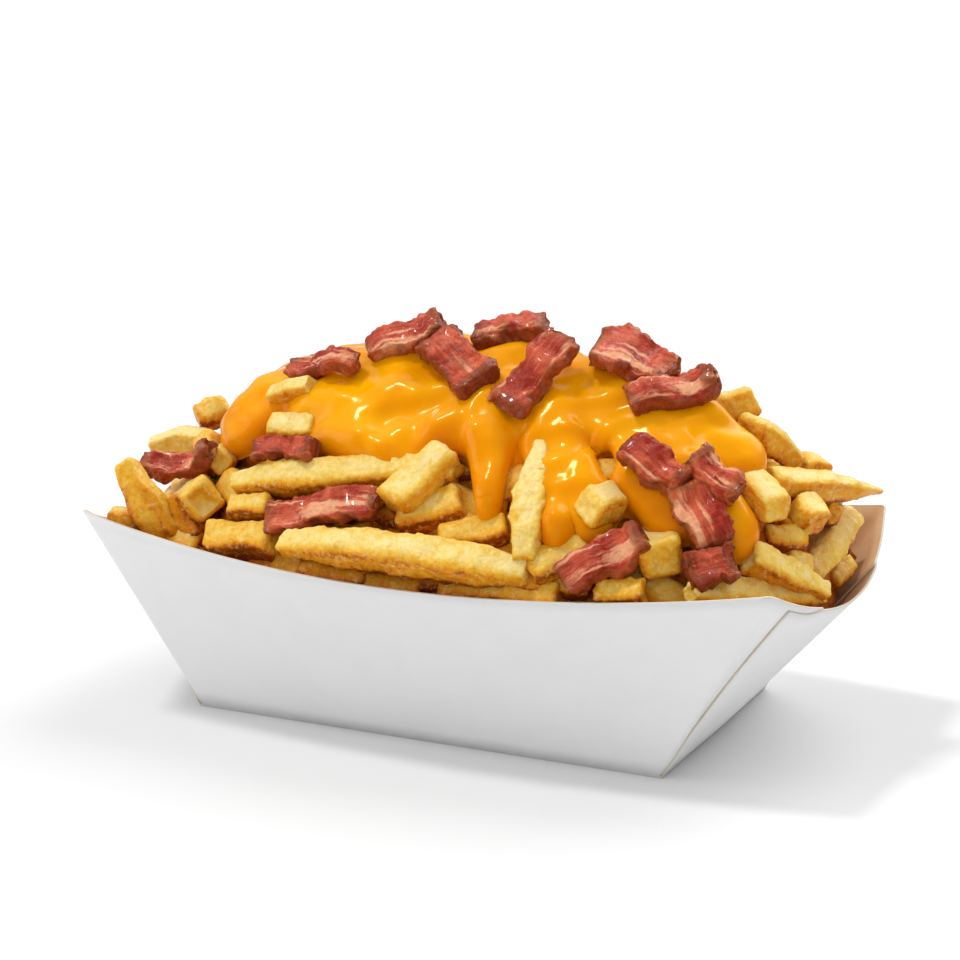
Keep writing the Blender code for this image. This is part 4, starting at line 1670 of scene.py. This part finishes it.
        # Painted shade: sauce_steep_shade is 1 where the top turns away from facing up, where it darkens the
        # cheese.
        facing = unit(np.cross(np.gradient(top, axis=0), np.gradient(top, axis=1)))[..., 2]
        steep = np.tile(smooth_step(0.95, 0.25, blurred(facing, 1.2)).ravel(), 2)[used]
        return Surface(points, compact.reshape(-1, 4), values={"sauce_steep_shade": steep})


def sampled(grid: Array, row: Array, column: Array) -> Array:
    """Values of a grid between its points, weighted by nearness to the four around.

    Args:
        grid: Values in rows and columns.
        row: Places counted in rows.
        column: Places counted in columns.

    Returns:
        One value for each place.
    """
    row = np.clip(row, 0, grid.shape[0] - 1.001)
    column = np.clip(column, 0, grid.shape[1] - 1.001)
    r, c = row.astype(int), column.astype(int)
    u, v = row - r, column - c
    first = grid[r, c] * (1 - v) + grid[r, c + 1] * v
    return first * (1 - u) + (grid[r + 1, c] * (1 - v) + grid[r + 1, c + 1] * v) * u


def blurred(grid: Array, sigma: float) -> Array:
    """Grid convolved with a Gaussian along each axis in turn.

    Args:
        grid: Values in rows and columns.
        sigma: Width of the Gaussian, counted in cells.

    Returns:
        Grid of the same size.
    """
    reach = int(3 * sigma) + 1
    weights = np.exp(-0.5 * (np.arange(-reach, reach + 1) / sigma) ** 2)
    weights /= weights.sum()
    for axis in (0, 1):
        padded = np.pad(grid, [(reach, reach) if a == axis else (0, 0) for a in (0, 1)], mode="edge")
        grid = sum(
            w * np.take(padded, np.arange(i, i + grid.shape[axis]), axis=axis) for i, w in enumerate(weights)
        )
    return grid


SAUCE = Sauce(
    strokes=(
        Stroke((-50, -2), (0, -2), 14, 22),
        Stroke((0, -2), (45, -5), 22, 13),
        Stroke((-56, -10), (-55, -13.5), 10, 9, 1.0),
        Stroke((-33, -17), (-10, -20), 10, 12, 1.2),
        Stroke((10, -18), (18, -35.5), 6.0, 3.0, 1.2),
        Stroke((28, -22), (36, -37.5), 7, 4.0, 0.6),
        Stroke((38, -30), (43, -34), 6, 4.5, 0.4),
        Stroke((50, -18), (58, -24), 12, 9, 0.0),
        Stroke((62, -22), (73.5, -24), 7, 5, 0.6),
        Stroke((58, -9), (69, -10), 7, 6, 0.4),
        Stroke((-38, 14), (-30, 15), 12, 12),
        Stroke((-6, 22), (4, 22), 12, 12),
        Stroke((-10, 10), (16, 11), 10, 10, 3.5),
        Stroke((28, 20), (34, 22), 13, 12),
        Stroke((38, 13), (42, 12), 11, 9),
    ),
    holes=(Stroke((41, -23), (43, -25), 1.7, 1.5),),
)


# Bacon


# Sizes of the loops that close an end of a piece, and powers of its section.
BACON_CAP = np.array([0.04, 0.35, 0.62, 0.82, 0.94])
BACON_POWERS = (0.42, 0.5)


@dataclass(frozen=True)
class BaconPiece:
    """One piece of bacon: a bent strip with uneven edges.

    Attributes:
        start: Middle of one end.
        end: Middle of the other.
        thick: Thickness.
        wide: Width.
        rise: How far its middle is bent up.
        roll: Turn about its own line, in degrees.
        kink: Height of the one wave along it.
        kind: How lean and dark it is, from 0 to 1.
        seed: Seed of its random draws.
    """

    start: Point
    end: Point
    thick: float
    wide: float
    rise: float = 0.0
    roll: float = 0.0
    kink: float = 0.0
    kind: float = 0.5
    seed: int = 0

    def line(self, t: Array) -> Array:
        """Points of the straight line from end to end."""
        return np.array(self.start, float) + np.subtract(self.end, self.start) * t[:, None]

    def settled(self, support: BVHTree) -> Surface:
        """Skin of the piece, moved along its line of sight until it lies on the support.

        Points of the skin look for the support along the line from the camera through the
        piece, and the piece moves by the distance that a tenth of them fall short of.

        Args:
            support: Search tree of the fries and the sauce.

        Returns:
            Closed surface in its final place.
        """
        skin = self.surface()
        eye = np.array(STUDIO.eye()) / MM
        sight = unit(skin.points.mean(0) - eye)
        before, reach, most, share = 25.0, 60.0, 6.0, 0.1
        gaps = []
        for point in skin.points[::5]:
            reached = support.ray_cast(tuple(point - before * sight), tuple(sight), reach)[3]
            gaps.append(reach if reached is None else reached - before)
        skin.points += sight * np.clip(np.quantile(gaps, share), -most, most)
        return skin

    def surface(self) -> Surface:
        """Closed skin of the piece: a superellipse section carried along a bent line.

        The line is bent up by rise * 4 t (1 - t) + kink * sin(2 pi t). The skin is raised by
        lines that run along the piece, and by smooth noise of two sizes.

        Returns:
            Closed surface with meat_across, meat_along, meat_edge and meat_kind.
        """
        start, end = np.array(self.start, float), np.array(self.end, float)
        length = float(np.linalg.norm(end - start))
        middle = (start + end) / 2
        along = unit(end - start)
        want = MOUND.normal(middle[0], middle[1])
        up = unit(want - along * (want @ along))
        side = np.cross(along, up)
        turn = math.radians(self.roll)
        up, side = up * math.cos(turn) + side * math.sin(turn), side * math.cos(turn) - up * math.sin(turn)
        rng = np.random.default_rng(self.seed + 500)
        rings, columns = 54, 44
        body = np.linspace(0, 1, rings)
        t = np.concatenate([0 * BACON_CAP, body, 0 * BACON_CAP + 1])
        k = np.concatenate([BACON_CAP, np.full(rings, 1.0), BACON_CAP[::-1]])
        k = k * np.sqrt(np.clip(1 - np.clip(np.abs(t - 0.5) * 2 - 0.86, 0, 1) ** 2 * 14, 0.35, 1))
        arch = 4 * t * (1 - t)
        spine = start + (end - start) * t[:, None] + np.outer(arch * self.rise, up)
        wander = np.sin(3.1 * t + self.seed) * 0.7
        spine += np.outer(np.sin(2 * np.pi * t) * self.kink, up) + np.outer(wander, side)
        apart = along * np.linspace(0, 1e-3, len(t))[:, None]
        tangent = unit(np.gradient(spine + apart, axis=0))
        across = unit(np.cross(up, tangent))
        above = np.cross(tangent, across)
        cx, cy = superellipse(columns, *BACON_POWERS)
        uneven = 1 + 0.13 * np.sin(t * rng.uniform(5, 8) + rng.uniform(0, 6))
        uneven = uneven + 0.08 * np.sin(t * rng.uniform(12, 18) + rng.uniform(0, 6))
        wide, high = self.wide / 2 * k * uneven, 0.42 * self.thick * k * (2 - uneven)
        cup = rng.uniform(-0.7, 0.9)
        grid = spine[:, None] + across[:, None] * np.outer(wide, cx)[..., None]
        grid = grid + above[:, None] * (np.outer(high, cy) + np.outer(k, cup * (cx**2 - 0.4)))[..., None]
        normal = tube_normals(grid)
        phase = np.outer(np.ones(len(t)), cx) * self.wide * 1.15
        phase = phase + 1.4 * ripple(grid, 14, self.seed + 60) * 2
        relief = 0.15 * np.sin(phase + self.seed) + 0.5 * ripple(grid, 5.0, self.seed + 61)
        relief = relief + 0.34 * ripple(grid, 2.2, self.seed + 62, 16)
        fade = smooth_step(0.1, 0.7, k)[:, None]
        grid = grid + normal * (relief * fade)[..., None]
        s = t * length
        near_end = np.exp(-((np.minimum(s, length - s) / 2.2) ** 2))[:, None]
        near_side = smooth_step(0.75, 1.0, np.abs(cx))[None]
        values = {
            "meat_across": (np.outer(wide, cx) + np.outer(high, cy) * 0.35).ravel(),
            "meat_along": np.repeat(s, columns),
            "meat_edge": np.maximum(near_end, near_side * np.ones_like(near_end)).ravel(),
            "meat_kind": np.full(grid[..., 0].size, self.kind),
        }
        shape = grid.shape[:2]
        return Surface(grid.reshape(-1, 3), tube_quads(*shape), end_fans(*shape), values)


BACON = (
    BaconPiece((-82.2, -24.0, 57.3), (-64.7, -24.0, 62.2), 5, 7.5, rise=-3.5, kink=0.8, kind=0.6, seed=1),
    BaconPiece((-37.3, -42.0, 52.5), (-9.5, -40.0, 57.7), 4.5, 8.8, rise=0.8, kink=-1.0, kind=0.6, seed=2),
    BaconPiece((-48.8, -27.0, 63.9), (-32.8, -28.0, 66.2), 5, 6, kink=0.9, kind=0.8, seed=3),
    BaconPiece((-47.9, -10.8, 81.2), (-28.5, -12.3, 85), 4.6, 6.5, rise=0.8, kink=-1.1, kind=0.4, seed=4),
    BaconPiece((-25.1, -11.5, 87.5), (-9.7, -5, 96.5), 5, 9, rise=-0.4, kink=0.9, kind=0.5, seed=5),
    BaconPiece((-9, -8.5, 91), (8.6, -19.8, 85.4), 6.5, 11, rise=0.8, kink=1.2, kind=0.95, seed=6),
    BaconPiece((-5, 6, 90.3), (12, 9, 93.6), 5.5, 8.5, rise=1, roll=50, kind=0.75, seed=7),
    BaconPiece((14.5, -22.5, 81.2), (25, -8, 94), 6, 10, rise=-0.8, kink=-1.2, kind=0.55, seed=8),
    BaconPiece((31.5, -3.5, 91.8), (48.8, -3.4, 87), 6, 13.5, rise=0.8, kink=1.1, kind=0.5, seed=9),
    BaconPiece((43.3, -14.2, 82.6), (60.4, -5, 88.6), 5.5, 8.5, rise=-2, kink=1.3, kind=0.6, seed=10),
    BaconPiece((42.5, -47.8, 47.5), (56.8, -40.8, 59.2), 5.5, 9.2, kink=1.3, kind=0.6, seed=11),
    BaconPiece((48, -25.5, 74.2), (63, -28.5, 68.8), 6, 8, kink=1.0, kind=0.65, seed=12),
    BaconPiece((63, -22, 73.4), (73.8, -24.5, 66.6), 5, 8, rise=-1.5, kind=0.4, seed=13),
    BaconPiece((64.0, -30.0, 69.0), (71.7, -34.0, 56.3), 4.5, 10.5, rise=0.8, kink=-0.9, kind=0.5, seed=14),
    BaconPiece((67.5, -38.3, 50.4), (76.4, -32.1, 51.3), 5.5, 9, kind=1.0, seed=15),
)


# Studio


@dataclass(frozen=True)
class Sun:
    """A sun that shines from a direction, spread over so many degrees."""

    name: str
    towards: Point
    strength: float
    spread: float

    def build(self) -> None:
        """Add the sun to the scene."""
        data = bpy.data.lights.new(self.name, "SUN")
        data.energy, data.angle, data.color = self.strength, math.radians(self.spread), (1, 1, 1)
        light = bpy.data.objects.new(self.name, data)
        light.rotation_euler = Vector(self.towards).to_track_quat("Z", "Y").to_euler()
        bpy.context.scene.collection.objects.link(light)


SUNS = (
    Sun("overhead", (0.3, 0.95, 1.0), 1.5, 50),
    Sun("key", (-0.45, -0.05, 1.0), 1.08, 9),
    Sun("fill_left", (-1.0, -0.4, 0.25), 0.85, 45),
    Sun("fill_right", (0.6, -0.9, 0.2), 0.45, 60),
)


@dataclass(frozen=True)
class Studio:
    """Camera, lights and floor, in metres.

    Attributes:
        azimuth: How far round from the front the camera stands, in degrees.
        elevation: How far up it stands, in degrees.
        distance: Its distance from the target.
        target: Place that it looks at.
        lens: Focal length, in millimetres.
        sensor: Width of its sensor, in millimetres.
        sky_low: Strength of the sky just below the horizon.
        sky_high: Strength of the sky overhead.
        floor_half: Half the size of the floor.
    """

    azimuth: float = 25.0
    elevation: float = 14.0
    distance: float = 0.654
    target: Point = (-0.0014, 0.0, 0.0558)
    lens: float = 100.0
    sensor: float = 36.0
    sky_low: float = 0.22
    sky_high: float = 0.84
    floor_half: float = 8.0

    def back(self) -> Vector:
        """Direction from the target to the camera."""
        az, el = math.radians(self.azimuth), math.radians(self.elevation)
        return Vector((math.sin(az) * math.cos(el), -math.cos(az) * math.cos(el), math.sin(el)))

    def eye(self) -> Vector:
        """Place of the camera."""
        return Vector(self.target) + self.back() * self.distance

    def camera(self) -> None:
        """Place the camera on the line back from the target."""
        data = bpy.data.cameras.new("camera")
        data.lens, data.sensor_width, data.clip_start = self.lens, self.sensor, 0.01
        camera = bpy.data.objects.new("camera", data)
        camera.location = self.eye()
        camera.rotation_euler = (-self.back()).to_track_quat("-Z", "Y").to_euler()
        bpy.context.scene.collection.objects.link(camera)
        bpy.context.scene.camera = camera

    def build(self) -> None:
        """Light the room evenly, add the suns, and lay the floor."""
        self.camera()
        world = bpy.data.worlds.new("studio")
        world.use_nodes = True
        graph = Graph(world.node_tree)
        split = graph.node("SeparateXYZ", in0=graph.node("TexCoord").outputs["Generated"])
        sky = graph.range(split.outputs["Z"], -0.1, 1.0, self.sky_low, self.sky_high)
        world.node_tree.links.new(sky, world.node_tree.nodes["Background"].inputs["Strength"])
        world.node_tree.nodes["Background"].inputs["Color"].default_value = (1, 1, 1, 1)
        bpy.context.scene.world = world
        for sun in SUNS:
            sun.build()
        bpy.context.scene.view_settings.view_transform = "Standard"
        mesh = bpy.data.meshes.new("floor")
        far = self.floor_half
        mesh.from_pydata([(-far, -far, 0), (far, -far, 0), (far, far, 0), (-far, far, 0)], [], [(0, 1, 2, 3)])
        mesh.materials.append(FloorFinish().build())
        floor = bpy.data.objects.new("floor", mesh)
        bpy.context.scene.collection.objects.link(floor)


STUDIO = Studio()


def main() -> None:
    """Build the studio, the tray, the heap, the sauce and the bacon."""
    logging.basicConfig(level=logging.INFO, format="%(name)s: %(message)s")
    STUDIO.build()
    tray = Tray()
    tray.build(WHITE_BOARD.build(), BROWN_BOARD.build(), CUT_EDGE.build())
    potato = FriedPotatoFinish().build()
    core = MOUND.core(tray)
    pile = FryPile(tray)
    open_fries, buried = pile.strewn(SAUCE)
    shown = Surface.joined([fry.surface(step=0.85, columns=46) for fry in SHOWN_FRIES])
    strewn = Surface.joined([fry.surface(step=1.5, columns=28) for fry in open_fries])
    hidden = Surface.joined([fry.surface(step=3.5, columns=14) for fry in buried])
    LOG.info("%d fries strewn, %d under the sauce", len(open_fries), len(buried))
    canopy = Canopy.over(np.concatenate([shown.points, strewn.points, hidden.points]))
    # Painted shade deep between the fries, lighter on those laid out in front.
    for surface, part in ((core, 1.0), (shown, 0.6), (strewn, 1.0)):
        surface.values["fry_gap_shade"] = part * canopy.gap(surface.points)
    heap = core.piece("heap_core", "fried_potato", [potato])
    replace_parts(heap, "fries")
    for name, surface in (("fries_in_front", shown), ("fries_strewn", strewn), ("fries_under_sauce", hidden)):
        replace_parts(surface.piece(name, "fried_potato", [potato]), "fries")
    ground = Surface.joined([core, strewn, hidden])
    laid = SAUCE.surface(ground.tree())
    sauce = laid.piece("cheese_sauce_poured", "cheese", [CheeseFinish().build()])
    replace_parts(sauce, "cheese_sauce")
    carriers = [Surface(part.points, part.quads, part.triangles) for part in (core, shown, strewn, laid)]
    support = Surface.joined(carriers).tree()
    meat = Surface.joined([piece.settled(support) for piece in BACON])
    bacon = meat.piece("bacon_pieces", "bacon", [BaconFinish().build()])
    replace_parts(bacon, *[f"bacon_{n:02d}" for n in range(1, 16)])


if __name__ == "__main__":
    main()
